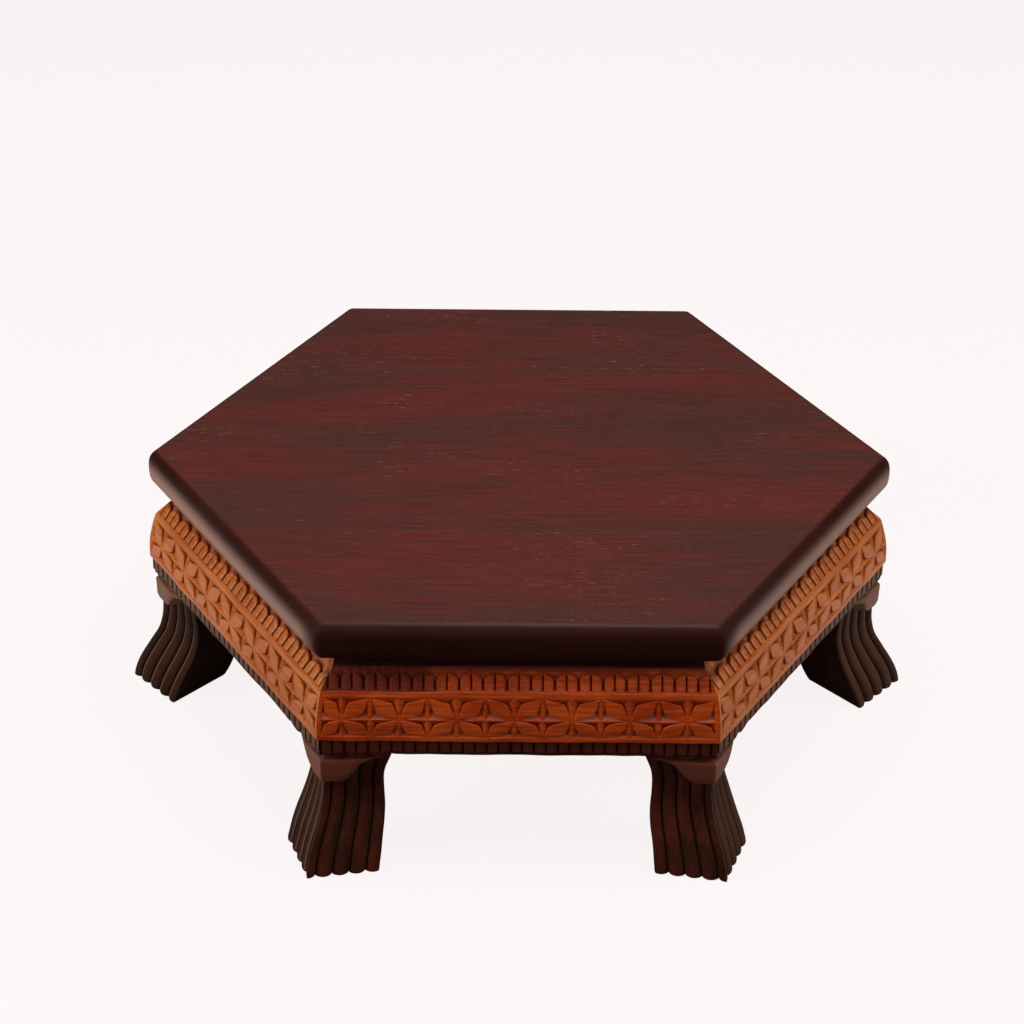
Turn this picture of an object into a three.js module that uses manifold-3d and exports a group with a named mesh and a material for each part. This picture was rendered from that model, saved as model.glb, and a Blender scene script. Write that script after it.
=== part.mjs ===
// A hexagonal low table in carved hardwood, of the kind used for sitting and dining on the floor.
// Four edge-glued planks make the dark top. Under it a ring of six mitred frieze rails carries a
// band of chip-carved stars and a row of lotus petals, a second ring of apron rails carries
// downward tongues, and six legs with reeded, flaring feet stand under the corners of the ring.
// Millimetres, +Z up. The origin is on the floor under the middle of the table.

import * as THREE from "three";
import { ConvexGeometry } from "three/addons/geometries/ConvexGeometry.js";
import { mergeVertices } from "three/addons/utils/BufferGeometryUtils.js";
import Module from "manifold-3d";

const wasm = await Module();
wasm.setup();

// The hexagon
const SIDES = 6;
const TURN = (2 * Math.PI) / SIDES;
const HALF_TURN = TURN / 2;
const SIDE_NAMES = ["front", "front_right", "back_right", "back", "back_left", "front_left"];
const CORNER_NAMES = ["front_right", "right", "back_right", "back_left", "left", "front_left"];

// Joints and cuts
const fitGap = 0.3;
const cutOverrun = 2;
const weldDistance = 0.0001;

// Top board. The glue lines between its planks are given as shares of its apothem, from its middle.
const boardSetback = 1.8;
const boardThickness = 29.9;
const boardCornerRadius = 10;
const boardEdgeDrop = 10;
const boardEdgeIn = 6;
const boardEdgeSteps = 3;
const boardCornerSteps = 2;
const plankSeamShares = [-0.469, 0.039, 0.557];

// Frieze rails, from the bottom up: a carved band, a slope with petals, and a neck under the board
const friezeApothem = 261.6;
const railThickness = 30;
const bandHeight = 41;
const bandTopIn = 5.8;
const slopeHeight = 14;
const slopeIn = 12.3;
const neckHeight = 15.1;
const neckIn = 5;
const friezeHeight = bandHeight + slopeHeight + neckHeight;

// Stars on the band. A leaf is given as shares of the half cell that it crosses.
const starsPerSide = 7;
const starHeightShare = 0.455;
const borderTop = 4.6;
const borderBottom = 3.8;
const borderEnd = 3.7;
const carveDepth = 2.6;
const leafSink = 0.2;
const leafShares = [
  [0.06, 0.06],
  [0.25, 0.76],
  [0.96, 0.96],
  [0.8, 0.34],
];
const ridgeAcrossShare = 0.5;
const ridgeAlongShare = 0.54;
const ridgeCrestShare = 0.12;
const ridgeFootShare = 1.15;
const ridgeRootShare = 2;

// Petals on the slope, above a plain fillet
const petalPitch = 17.8;
const petalLength = 14;
const petalRelief = 1.8;
const petalWidthShare = 0.9;
const petalOutlineShares = [
  [1, 0],
  [1, 0.62],
  [0.5, 1],
];
const petalSink = 0.3;
const filletWidth = 1.6;

// Apron rails, with tongues along the lower edge. A tongue end is in shares of pitch and notch.
const apronHeight = 16.5;
const apronSetback = 1.8;
const tongueNotch = 3.5;
const tongueEndShares = [
  [-0.5, 1],
  [-0.26, 0],
  [0.26, 0],
];

// Legs. Insets are measured inwards along the table's diagonal from the corner of the apron.
const legHeight = 101;
const cornerNeckInset = 10.3;
const cornerFootFlare = 20.7;
const cheekNeckInset = 40;
const cheekFootInset = 12;
const cheekNeckHalf = 35;
const cheekFootHalf = 42.5;
const heelFootInset = 54;
const heelTopInset = 83.8;
const reedsPerFace = 5;
const reedRise = 2.4;
const reedSteps = 3;
// Height, corner, cheek place, cheek width and heel, each from 0 at the neck to 1 at the foot
const legCurveShares = [
  [0, 0.94, 0.89, 0.8, 1],
  [0.04, 1, 0.95, 0.93, 0.92],
  [0.12, 0.95, 0.99, 1, 0.79],
  [0.25, 0.77, 0.62, 0.6, 0.62],
  [0.4, 0.47, 0.18, 0.13, 0.46],
  [0.52, 0.21, 0, 0, 0.34],
  [0.71, 0.01, 0.1, 0.28, 0.18],
  [1, 0, 0.48, 0.8, 0],
];

// Knees: a plain block at the top of each leg, with a curved lower edge
const kneeSetback = 1.6;
const kneeFootIn = 2.6;
const kneeHalf = 34;
const kneeDrop = 25;
const kneeDepth = 16;
const kneeSteps = 3;
const kneeCurveShares = [
  [0.62, 0.15],
  [0.45, 0.95],
];

// Posts, which carry each leg on up into the corner of the ring
const postFace = 26;

// Battens and glue blocks under the planks
const battenWidth = 40;
const battenThickness = 18;
const battenClearance = 13;
const blockLength = 60;
const blockSize = 20;

// Screws
const screwRadius = 2.2;
const screwHeadRadius = 4.2;
const screwHeadHeight = 3.2;
const screwPoint = 5;
const screwSides = 6;
const plankBite = 17;
const railBite = 17;
const legScrewGrip = 26;
const legScrewHeights = [14, 34];
const legScrewFromCorner = 13;

// Levels and reaches that follow from the sizes above
const friezeBottom = legHeight + apronHeight;
const boardBottom = friezeBottom + friezeHeight;
const starHeight = bandHeight * starHeightShare;
const boardApothem = friezeApothem - boardSetback;
const apronApothem = friezeApothem - apronSetback;
const innerApothem = friezeApothem - railThickness;
const cornerReach = apronApothem / Math.cos(HALF_TURN);
const postTip = (innerApothem - fitGap) / Math.cos(HALF_TURN) - cornerReach;
const postHeelX = (cornerReach - heelTopInset) * Math.cos(TURN);
const battenOffset = postHeelX - battenClearance - battenWidth / 2;
const topScrewLength = battenThickness + plankBite;
const legScrewLength = legScrewGrip + railBite;

// Finishes
const darkWood = { color: 0x4a1f1a, roughness: 0.35, metalness: 0 };
const legWood = { color: 0x35170f, roughness: 0.4, metalness: 0 };
const honeyWood = { color: 0xa04a16, roughness: 0.4, metalness: 0 };
const plainWood = { color: 0x8a6238, roughness: 0.75, metalness: 0 };
const steel = { color: 0xb8b8b4, roughness: 0.35, metalness: 1 };

const X = new THREE.Vector3(1, 0, 0);
const Y = new THREE.Vector3(0, 1, 0);
const Z = new THREE.Vector3(0, 0, 1);

// A three.js geometry as a solid that can be joined and cut
function solidOf(geometry) {
  const bare = geometry.index ? geometry.toNonIndexed() : geometry.clone();
  for (const name of Object.keys(bare.attributes)) {
    if (name !== "position") bare.deleteAttribute(name);
  }
  const merged = mergeVertices(bare, weldDistance);
  return new wasm.Manifold(
    new wasm.Mesh({
      numProp: 3,
      vertProperties: merged.attributes.position.array,
      triVerts: new Uint32Array(merged.index.array),
    }),
  );
}

function geometryOf(solid) {
  const { vertProperties, triVerts } = solid.getMesh();
  const geometry = new THREE.BufferGeometry();
  geometry.setAttribute("position", new THREE.BufferAttribute(vertProperties, 3));
  geometry.setIndex(new THREE.BufferAttribute(triVerts, 1));
  geometry.computeVertexNormals();
  return geometry;
}

function shapeFrom(points) {
  return new THREE.Shape(points.map(([x, y]) => new THREE.Vector2(x, y)));
}

// An outline pushed along its own normal, then set on the axes given for its x and y
function extrudeOn(shape, depth, xAxis, yAxis, origin, curveSegments = 1) {
  const geometry = new THREE.ExtrudeGeometry(shape, { depth, bevelEnabled: false, curveSegments });
  const normal = new THREE.Vector3().crossVectors(xAxis, yAxis);
  const place = new THREE.Matrix4().makeBasis(xAxis, yAxis, normal).setPosition(origin);
  return geometry.applyMatrix4(place);
}

// A closed skin through rings of equal length, listed from the bottom up, anticlockwise from above
function loft(rings) {
  const count = rings[0].length;
  const faces = [];
  for (let level = 0; level + 1 < rings.length; level++) {
    for (let i = 0; i < count; i++) {
      const a = level * count + i;
      const b = level * count + ((i + 1) % count);
      faces.push(a, b, b + count, a, b + count, a + count);
    }
  }
  const cap = (ring) => {
    const flat = ring.map((p) => new THREE.Vector2(p.x, p.y));
    return THREE.ShapeUtils.triangulateShape(flat, []);
  };
  const last = (rings.length - 1) * count;
  for (const [a, b, c] of cap(rings[0])) faces.push(a, c, b);
  for (const [a, b, c] of cap(rings[rings.length - 1])) faces.push(last + a, last + b, last + c);
  const geometry = new THREE.BufferGeometry().setFromPoints(rings.flat());
  geometry.setIndex(faces);
  return geometry;
}

// A shape turned about +Z from points of radius and height
function turnedAbout(points) {
  const outline = points.map(([radius, height]) => new THREE.Vector2(radius, height));
  return new THREE.LatheGeometry(outline, screwSides).rotateX(Math.PI / 2);
}

// A countersunk screw along +Z, with the flat of its head at zero
function screwGeometry(length) {
  return turnedAbout([
    [0, 0],
    [screwHeadRadius, 0],
    [screwRadius, screwHeadHeight],
    [screwRadius, length - screwPoint],
    [0, length],
  ]);
}

// The hole that a screw lies in, open behind its head for the driver
function screwHole(length, openDepth) {
  const wide = screwHeadRadius + fitGap;
  const narrow = screwRadius + fitGap;
  return turnedAbout([
    [0, -openDepth],
    [wide, -openDepth],
    [wide, 0],
    [narrow, screwHeadHeight],
    [narrow, length + fitGap],
    [0, length + fitGap],
  ]);
}

// Top board

function hexagonOutline(apothem, cornerRadius) {
  const reach = apothem / Math.cos(HALF_TURN);
  const trim = cornerRadius * Math.tan(HALF_TURN);
  const corner = (k) => new THREE.Vector2(reach, 0).rotateAround(new THREE.Vector2(), k * TURN);
  const shape = new THREE.Shape();
  for (let k = 0; k < SIDES; k++) {
    const here = corner(k);
    const start = corner(k - 1).sub(here).setLength(trim).add(here);
    const end = corner(k + 1).sub(here).setLength(trim).add(here);
    if (k === 0) shape.moveTo(start.x, start.y);
    else shape.lineTo(start.x, start.y);
    shape.quadraticCurveTo(here.x, here.y, end.x, end.y);
  }
  shape.closePath();
  return shape;
}

function boardSolid() {
  const outline = hexagonOutline(boardApothem - boardEdgeIn, boardCornerRadius);
  const geometry = new THREE.ExtrudeGeometry(outline, {
    depth: boardThickness - 2 * boardEdgeDrop,
    bevelEnabled: true,
    bevelThickness: boardEdgeDrop,
    bevelSize: boardEdgeIn,
    bevelSegments: boardEdgeSteps,
    curveSegments: boardCornerSteps,
  });
  return solidOf(geometry.translate(0, 0, boardBottom + boardEdgeDrop));
}

// The planks run left to right. Their edges are listed from the front of the board to its back.
const PLANK_NAMES = ["plank_front", "plank_mid_front", "plank_mid_back", "plank_back"];
const plankEdges = [-1, ...plankSeamShares, 1].map((share) => share * boardApothem);

function plankSlab(front, back) {
  const reach = boardApothem / Math.cos(HALF_TURN) + cutOverrun;
  const box = new THREE.BoxGeometry(2 * reach, back - front, boardThickness + 2 * cutOverrun);
  return solidOf(box.translate(0, (front + back) / 2, boardBottom + boardThickness / 2));
}

// Battens, with a screw up through them into each plank

const battenHalfLength = innerApothem - fitGap;
const BATTEN_PLACES = [
  ["left", -battenOffset],
  ["right", battenOffset],
];

function topScrewPlaces() {
  return BATTEN_PLACES.flatMap(([side, x]) =>
    PLANK_NAMES.map((plank, i) => {
      const front = Math.max(plankEdges[i], -battenHalfLength);
      const back = Math.min(plankEdges[i + 1], battenHalfLength);
      const point = new THREE.Vector3(x, (front + back) / 2, boardBottom - battenThickness);
      return { name: `top_screw_${side}_${i + 1}`, side, point };
    }),
  );
}

// Rails. They are worked out for the front side, which looks along -Y.

// The room between the two mitres of a rail, less an inset from each of them
function mitreWedge(bottom, height, inset) {
  const far = friezeApothem + cutOverrun;
  const apex = inset / Math.sin(HALF_TURN);
  const half = (far - apex) * Math.tan(HALF_TURN);
  const outline = shapeFrom([
    [0, -apex],
    [-half, -far],
    [half, -far],
  ]);
  const origin = new THREE.Vector3(0, 0, bottom - cutOverrun);
  return solidOf(extrudeOn(outline, height + 2 * cutOverrun, X, Y, origin));
}

// A flat stretch of a rail's front, from its lower edge. along climbs it and depth sinks into it.
class RailFace {
  constructor(apothem, height, climbIn, climbUp) {
    this.start = new THREE.Vector3(0, -apothem, height);
    this.up = new THREE.Vector3(0, climbIn, climbUp).normalize();
    this.out = new THREE.Vector3().crossVectors(X, this.up);
  }

  point(across, along, depth) {
    return this.start
      .clone()
      .addScaledVector(X, across)
      .addScaledVector(this.up, along)
      .addScaledVector(this.out, -depth);
  }

  // Where a point of this face lies in the rail's cross-section
  section(along, depth) {
    const { y, z } = this.point(0, along, depth);
    return [-y, z];
  }

  // An outline on the face, raised from one depth to another
  raised(shape, from, to) {
    return solidOf(extrudeOn(shape, from - to, X, this.up, this.point(0, 0, from)));
  }
}

const upperRise = bandHeight - starHeight;
const lowerBand = new RailFace(friezeApothem, friezeBottom + starHeight, 0, starHeight);
const upperBand = new RailFace(friezeApothem, friezeBottom + starHeight, bandTopIn, upperRise);
const slope = new RailFace(friezeApothem - bandTopIn, friezeBottom + bandHeight, slopeIn, slopeHeight);
const upperReach = Math.hypot(bandTopIn, upperRise) - borderTop;
const lowerReach = starHeight - borderBottom;
const slopeLength = Math.hypot(slopeIn, slopeHeight);

// An outline of a rail's cross-section, run out past both mitres
function runOf(section) {
  const length = 2 * (friezeApothem + cutOverrun) * Math.tan(HALF_TURN);
  const origin = new THREE.Vector3(length / 2, 0, 0);
  return solidOf(extrudeOn(shapeFrom(section), length, Y.clone().negate(), Z, origin));
}

// The rail's cross-section before the stars are carved, with the slope's ground cut back
function friezeSection() {
  const [neckFoot, neckBottom] = slope.section(slopeLength, petalRelief);
  return [
    lowerBand.section(-starHeight, 0),
    lowerBand.section(0, 0),
    slope.section(0, 0),
    slope.section(filletWidth, 0),
    slope.section(filletWidth, petalRelief),
    [neckFoot, neckBottom],
    [neckFoot - neckIn, boardBottom],
    [innerApothem, boardBottom],
    [innerApothem, friezeBottom],
  ];
}

// The wood taken off the band around the stars, inside plain borders
function bandCut() {
  const section = [
    lowerBand.section(-lowerReach, carveDepth),
    lowerBand.section(-lowerReach, -cutOverrun),
    lowerBand.section(0, -cutOverrun),
    upperBand.section(upperReach, -cutOverrun),
    upperBand.section(upperReach, carveDepth),
    lowerBand.section(0, carveDepth),
  ];
  return runOf(section).intersect(mitreWedge(friezeBottom, friezeHeight, borderEnd));
}

// A flat-topped leaf from the centre of a star to one corner of its cell
function leafSolid(centre, halfPitch, hand, face, reach) {
  const outline = leafShares.map(([u, v]) => [centre + hand * u * halfPitch, v * reach]);
  return face.raised(shapeFrom(outline), carveDepth * ridgeRootShare, leafSink);
}

// The low four-sided hill left standing between two stars
function ridgeSolid(centre, halfPitch) {
  const across = halfPitch * ridgeAcrossShare;
  const foot = carveDepth * ridgeFootShare;
  return solidOf(
    new ConvexGeometry([
      lowerBand.point(centre - across, 0, foot),
      lowerBand.point(centre + across, 0, foot),
      lowerBand.point(centre, -lowerReach * ridgeAlongShare, foot),
      upperBand.point(centre, upperReach * ridgeAlongShare, foot),
      lowerBand.point(centre, 0, carveDepth * ridgeCrestShare),
      lowerBand.point(centre, 0, carveDepth * ridgeRootShare + bandTopIn),
    ]),
  );
}

// The leaves of all the stars, and a hill on each boundary between two of them
function starPieces() {
  const halfPitch = (friezeApothem * Math.tan(HALF_TURN) - borderEnd) / starsPerSide;
  const pieces = [];
  for (let k = 0; k < starsPerSide; k++) {
    const centre = (2 * k + 1 - starsPerSide) * halfPitch;
    for (const hand of [1, -1]) {
      pieces.push(leafSolid(centre, halfPitch, hand, upperBand, upperReach));
      pieces.push(leafSolid(centre, halfPitch, hand, lowerBand, -lowerReach));
    }
    if (k > 0) pieces.push(ridgeSolid(centre - halfPitch, halfPitch));
  }
  return pieces;
}

// A petal stands on the fillet and ends in a round arch
function petalSolid(centre) {
  const half = (petalPitch * petalWidthShare) / 2;
  const foot = filletWidth / 2;
  const side = (hand) =>
    petalOutlineShares.map(([across, along]) => [
      centre + hand * across * half,
      foot + along * petalLength,
    ]);
  const shape = shapeFrom([...side(1), ...side(-1).reverse()]);
  return slope.raised(shape, 2 * petalRelief, petalSink);
}

// As many pitches as reach from the middle of a side to beyond its corner
function pitchesToCorner(apothem) {
  return Math.ceil((apothem * Math.tan(HALF_TURN)) / petalPitch);
}

function friezeSolid(screwHoles) {
  let rail = runOf(friezeSection()).subtract(bandCut());
  for (const piece of starPieces()) rail = rail.add(piece);
  const last = pitchesToCorner(friezeApothem - bandTopIn);
  for (let k = -last; k <= last; k++) rail = rail.add(petalSolid(k * petalPitch));
  rail = rail.intersect(mitreWedge(friezeBottom, friezeHeight, fitGap / 2));
  for (const hole of screwHoles) rail = rail.subtract(hole);
  return rail;
}

function apronSolid() {
  const last = pitchesToCorner(apronApothem) + 1;
  const edge = [];
  for (let k = -last; k <= last; k++) {
    for (const [across, up] of tongueEndShares) {
      edge.push([(k + across) * petalPitch, legHeight + up * tongueNotch]);
    }
  }
  const [left] = edge[0];
  const [right] = edge[edge.length - 1];
  const outline = shapeFrom([...edge, [right, friezeBottom], [left, friezeBottom]]);
  const origin = new THREE.Vector3(0, -innerApothem, 0);
  const rail = solidOf(extrudeOn(outline, apronApothem - innerApothem, X, Z, origin));
  return rail.intersect(mitreWedge(legHeight, apronHeight, fitGap / 2));
}

// Legs. Their +X looks outwards along the diagonal, from zero at the corner of the apron.

// Points of a fluted line that swells outwards between its grooves
function reedPoints(from, to) {
  const along = to.clone().sub(from);
  const out = new THREE.Vector2(along.y, -along.x).normalize();
  const steps = reedsPerFace * reedSteps;
  const points = [];
  for (let i = 0; i < steps; i++) {
    const rise = Math.sin((Math.PI * (i % reedSteps)) / reedSteps) * reedRise;
    points.push(from.clone().addScaledVector(along, i / steps).addScaledVector(out, rise));
  }
  return points;
}

function legRing([up, corner, cheek, width, heel]) {
  const { lerp } = THREE.MathUtils;
  const half = lerp(cheekNeckHalf, cheekFootHalf, width);
  const cheekX = lerp(-cheekNeckInset, -cheekFootInset, cheek);
  const tip = new THREE.Vector2(lerp(-cornerNeckInset, cornerFootFlare, corner), 0);
  const left = new THREE.Vector2(cheekX, half);
  const right = new THREE.Vector2(cheekX, -half);
  const back = new THREE.Vector2(lerp(-heelTopInset, -heelFootInset, heel), 0);
  const outline = [...reedPoints(right, tip), ...reedPoints(tip, left), left, back];
  return outline.map((p) => new THREE.Vector3(p.x, p.y, up * legHeight));
}

// A bent slab whose two faces follow the sides of the table
function kneeSlab() {
  const half = kneeHalf + cutOverrun;
  const back = half * Math.tan(HALF_TURN);
  const ring = (inset, z) => [
    new THREE.Vector3(-inset, 0, z),
    new THREE.Vector3(-inset - back, half, z),
    new THREE.Vector3(-inset - back - kneeDepth, half, z),
    new THREE.Vector3(-inset - back - kneeDepth, -half, z),
    new THREE.Vector3(-inset - back, -half, z),
  ];
  const lower = ring(kneeSetback + kneeFootIn, legHeight - kneeDrop - cutOverrun);
  return solidOf(loft([lower, ring(kneeSetback, legHeight)]));
}

// The knee's outline from the front, straight at the top and drawn down to a blunt point
function kneeShield() {
  const at = (out, down) => [out * kneeHalf, -down * kneeDrop];
  const [[highOut, highDown], [lowOut, lowDown]] = kneeCurveShares;
  const shape = new THREE.Shape();
  shape.moveTo(...at(-1, 0));
  shape.bezierCurveTo(...at(-highOut, highDown), ...at(-lowOut, lowDown), ...at(0, 1));
  shape.bezierCurveTo(...at(lowOut, lowDown), ...at(highOut, highDown), ...at(1, 0));
  shape.closePath();
  const origin = new THREE.Vector3(-heelTopInset, 0, legHeight);
  return solidOf(extrudeOn(shape, heelTopInset, Y, Z, origin, kneeSteps));
}

// The post inside the corner of the rails, up to the board
function postSolid() {
  const sideX = postTip - postFace * Math.sin(HALF_TURN);
  const sideY = postFace * Math.cos(HALF_TURN);
  const outline = shapeFrom([
    [postTip, 0],
    [sideX, sideY],
    [-heelTopInset, 0],
    [sideX, -sideY],
  ]);
  const foot = legHeight - cutOverrun;
  return solidOf(extrudeOn(outline, boardBottom - foot, X, Y, new THREE.Vector3(0, 0, foot)));
}

// Where a leg screw lies: square to the rail on the side that hand, 1 or -1, points to
function legScrewPlace(hand) {
  const out = new THREE.Vector3(Math.cos(HALF_TURN), hand * Math.sin(HALF_TURN), 0);
  const side = new THREE.Vector3().crossVectors(Z, out);
  const height = friezeBottom + legScrewHeights[hand > 0 ? 0 : 1];
  const seat = new THREE.Vector3(postTip, 0, height)
    .addScaledVector(side, hand * legScrewFromCorner)
    .addScaledVector(out, -legScrewGrip);
  const rise = new THREE.Vector3().crossVectors(out, side);
  return new THREE.Matrix4().makeBasis(side, rise, out).setPosition(seat);
}

function legSolid() {
  let leg = solidOf(loft(legCurveShares.map(legRing)));
  leg = leg.add(kneeSlab().intersect(kneeShield())).add(postSolid());
  for (const hand of [1, -1]) {
    const hole = screwHole(legScrewLength, heelTopInset).applyMatrix4(legScrewPlace(hand));
    leg = leg.subtract(solidOf(hole));
  }
  return leg;
}

// The holes that a front rail gets from the screws of the legs at its two ends
function railScrewHoles() {
  return [1, -1].map((end) => {
    const corner = new THREE.Matrix4().makeRotationZ(end * HALF_TURN - Math.PI / 2);
    corner.multiply(new THREE.Matrix4().makeTranslation(cornerReach, 0, 0));
    const hole = screwHole(legScrewLength, cutOverrun).applyMatrix4(legScrewPlace(-end));
    return solidOf(hole.applyMatrix4(corner));
  });
}

// Assembly

const table = new THREE.Group();

function addMesh(name, geometry, finish, parent = table) {
  const mesh = new THREE.Mesh(geometry, new THREE.MeshStandardMaterial(finish));
  mesh.name = name;
  parent.add(mesh);
  return mesh;
}

// A group turned about the middle of the table, and moved outwards along its own +X
function turnedGroup(angle, outwards = 0) {
  const group = new THREE.Group();
  group.rotation.z = angle;
  group.position.set(outwards, 0, 0).applyEuler(group.rotation);
  table.add(group);
  return group;
}

const board = boardSolid();
const topScrews = topScrewPlaces();
for (const screw of topScrews) {
  screw.hole = solidOf(screwHole(topScrewLength, cutOverrun).translate(...screw.point));
  addMesh(screw.name, screwGeometry(topScrewLength), steel).position.copy(screw.point);
}

PLANK_NAMES.forEach((name, i) => {
  let plank = board.intersect(plankSlab(plankEdges[i], plankEdges[i + 1]));
  for (const { hole } of topScrews) plank = plank.subtract(hole);
  addMesh(name, geometryOf(plank), darkWood);
});

for (const [side, x] of BATTEN_PLACES) {
  const box = new THREE.BoxGeometry(battenWidth, 2 * battenHalfLength, battenThickness);
  let batten = solidOf(box.translate(x, 0, boardBottom - battenThickness / 2));
  for (const screw of topScrews) if (screw.side === side) batten = batten.subtract(screw.hole);
  addMesh(`batten_${side}`, geometryOf(batten), plainWood);
}

const friezeGeometry = geometryOf(friezeSolid(railScrewHoles()));
const apronGeometry = geometryOf(apronSolid());
const blockOutline = shapeFrom([
  [0, 0],
  [0, -blockSize],
  [blockSize, 0],
]);
const blockOrigin = new THREE.Vector3(-blockLength / 2, fitGap - innerApothem, boardBottom);
const blockGeometry = extrudeOn(blockOutline, blockLength, Y, Z, blockOrigin);
SIDE_NAMES.forEach((name, i) => {
  const side = turnedGroup(i * TURN);
  addMesh(`frieze_${name}`, friezeGeometry, honeyWood, side);
  addMesh(`apron_${name}`, apronGeometry, legWood, side);
  addMesh(`glue_block_${name}`, blockGeometry, plainWood, side);
});

const legGeometry = geometryOf(legSolid());
CORNER_NAMES.forEach((name, i) => {
  const corner = turnedGroup(i * TURN + HALF_TURN - Math.PI / 2, cornerReach);
  addMesh(`leg_${name}`, legGeometry, legWood, corner);
  for (const hand of [1, -1]) {
    const screw = screwGeometry(legScrewLength).applyMatrix4(legScrewPlace(hand));
    addMesh(`leg_screw_${name}_${hand > 0 ? "a" : "b"}`, screw, steel, corner);
  }
});

export default table;
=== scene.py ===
# %% [markdown]
# A carved low table, step by step
#
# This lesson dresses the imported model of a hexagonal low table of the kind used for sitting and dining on
# the floor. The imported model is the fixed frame. Every piece here is a surface worked out with numpy in the
# same place as the solid it stands for, so nothing has to be fitted afterwards.

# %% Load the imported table
import math

import bmesh
import bpy
import numpy as np
from mathutils import Matrix, Vector


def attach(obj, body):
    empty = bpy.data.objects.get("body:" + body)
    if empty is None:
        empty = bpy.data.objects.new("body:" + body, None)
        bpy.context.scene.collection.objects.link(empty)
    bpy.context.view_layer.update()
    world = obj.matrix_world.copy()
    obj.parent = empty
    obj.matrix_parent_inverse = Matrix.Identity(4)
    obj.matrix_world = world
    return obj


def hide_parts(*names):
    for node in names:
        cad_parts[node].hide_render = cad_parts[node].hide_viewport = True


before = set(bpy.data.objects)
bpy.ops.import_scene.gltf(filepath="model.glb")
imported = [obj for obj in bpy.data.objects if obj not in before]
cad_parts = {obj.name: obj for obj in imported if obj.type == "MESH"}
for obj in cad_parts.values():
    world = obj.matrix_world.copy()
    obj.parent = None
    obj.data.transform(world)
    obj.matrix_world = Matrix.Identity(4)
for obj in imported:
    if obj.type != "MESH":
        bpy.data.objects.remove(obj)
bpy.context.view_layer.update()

# %% [markdown]
# The camera comes first, because every later choice is judged through it. The photograph was taken from
# well above the table with a long lens. A camera can be guessed by eye, or solved from the corners of the
# top, the mitres of the rails and the feet. The solved one is used, because it puts all of them within two
# pixels at once.

# %% Camera
SENSOR = 36
CAMERA_PLACE, CAMERA_LENS = (-0.01618, -2.17679, 1.46430), 109.587
CAMERA_SHIFT, CAMERA_TURNS = (0.0050, 0.00044), (-0.171, 30.893, 0.576)
scene = bpy.context.scene
scene.view_settings.view_transform = "Standard"


def camera_axes(yaw, pitch, roll):
    """Right, up and forward. Forward is +Y dropped by pitch and turned by yaw, and roll turns the others."""
    yaw, pitch, roll = np.radians([yaw, pitch, roll])
    forward = np.array([-math.sin(yaw) * math.cos(pitch), math.cos(yaw) * math.cos(pitch), -math.sin(pitch)])
    right = np.array([math.cos(yaw), math.sin(yaw), 0])
    up = np.cross(right, forward)
    return (math.cos(roll) * right + math.sin(roll) * up,
            math.cos(roll) * up - math.sin(roll) * right, forward)


def add_camera(place, lens, shift, axes):
    """A camera whose own X, Y and -Z are the three axes."""
    data = bpy.data.cameras.new("camera")
    data.sensor_width, data.lens = SENSOR, lens
    data.shift_x, data.shift_y = shift
    holder = bpy.data.objects.new("camera", data)
    right, up, forward = axes
    turn = Matrix(np.column_stack([right, up, -forward]).tolist()).to_4x4()
    holder.matrix_world = Matrix.Translation(place) @ turn
    scene.collection.objects.link(holder)
    return holder


scene.camera = add_camera(CAMERA_PLACE, CAMERA_LENS, CAMERA_SHIFT, camera_axes(*CAMERA_TURNS))
print("camera at", tuple(scene.camera.location))

# %% [markdown]
# Every shape here is made of grids of points: rows by columns, worked out as whole arrays. A skin collects
# the grids of one piece. It could be built face by face, but a grid needs no loop over its points, and the
# seams between grids close by themselves when the doubled points are merged. Lengths are millimetres until a
# mesh is made. Each point also carries how deep it lies in the carving, because stain gathers there and the
# cuts are painted darker as shade, and its place in the piece's own frame, which the grain follows. That
# place is shifted from piece to piece, so that no two show the same grain.

# %% Skins made of grids
MM = 0.001
SIXTH = math.pi / 3
TAN30, COS30, SIN30 = math.tan(SIXTH / 2), math.cos(SIXTH / 2), math.sin(SIXTH / 2)
SAME_PLACE, NO_LENGTH = 2e-6, 1e-6
WAVES, FLAT_FEET = 14, 20
OWN_SHIFT = np.array([1.3, 0.37, 0.21])


def smoothstep(x, low, high):
    """0 up to low, 1 from high, and t*t*(3 - 2t) of the share t between them."""
    t = np.clip((x - low) / (high - low), 0, 1)
    return t * t * (3 - 2 * t)


def soft_curve(x, xs, ys):
    """A smooth curve through points: a cubic on each span, with the mean slopes of its neighbours as ends."""
    xs, ys = np.asarray(xs, float), np.asarray(ys, float)
    slopes = np.gradient(ys, xs)
    i = np.clip(np.searchsorted(xs, x) - 1, 0, len(xs) - 2)
    span = xs[i + 1] - xs[i]
    t = (x - xs[i]) / span
    return ((2 * t**3 - 3 * t**2 + 1) * ys[i] + (t**3 - 2 * t**2 + t) * span * slopes[i]
            + (3 * t**2 - 2 * t**3) * ys[i + 1] + (t**3 - t**2) * span * slopes[i + 1])


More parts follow.
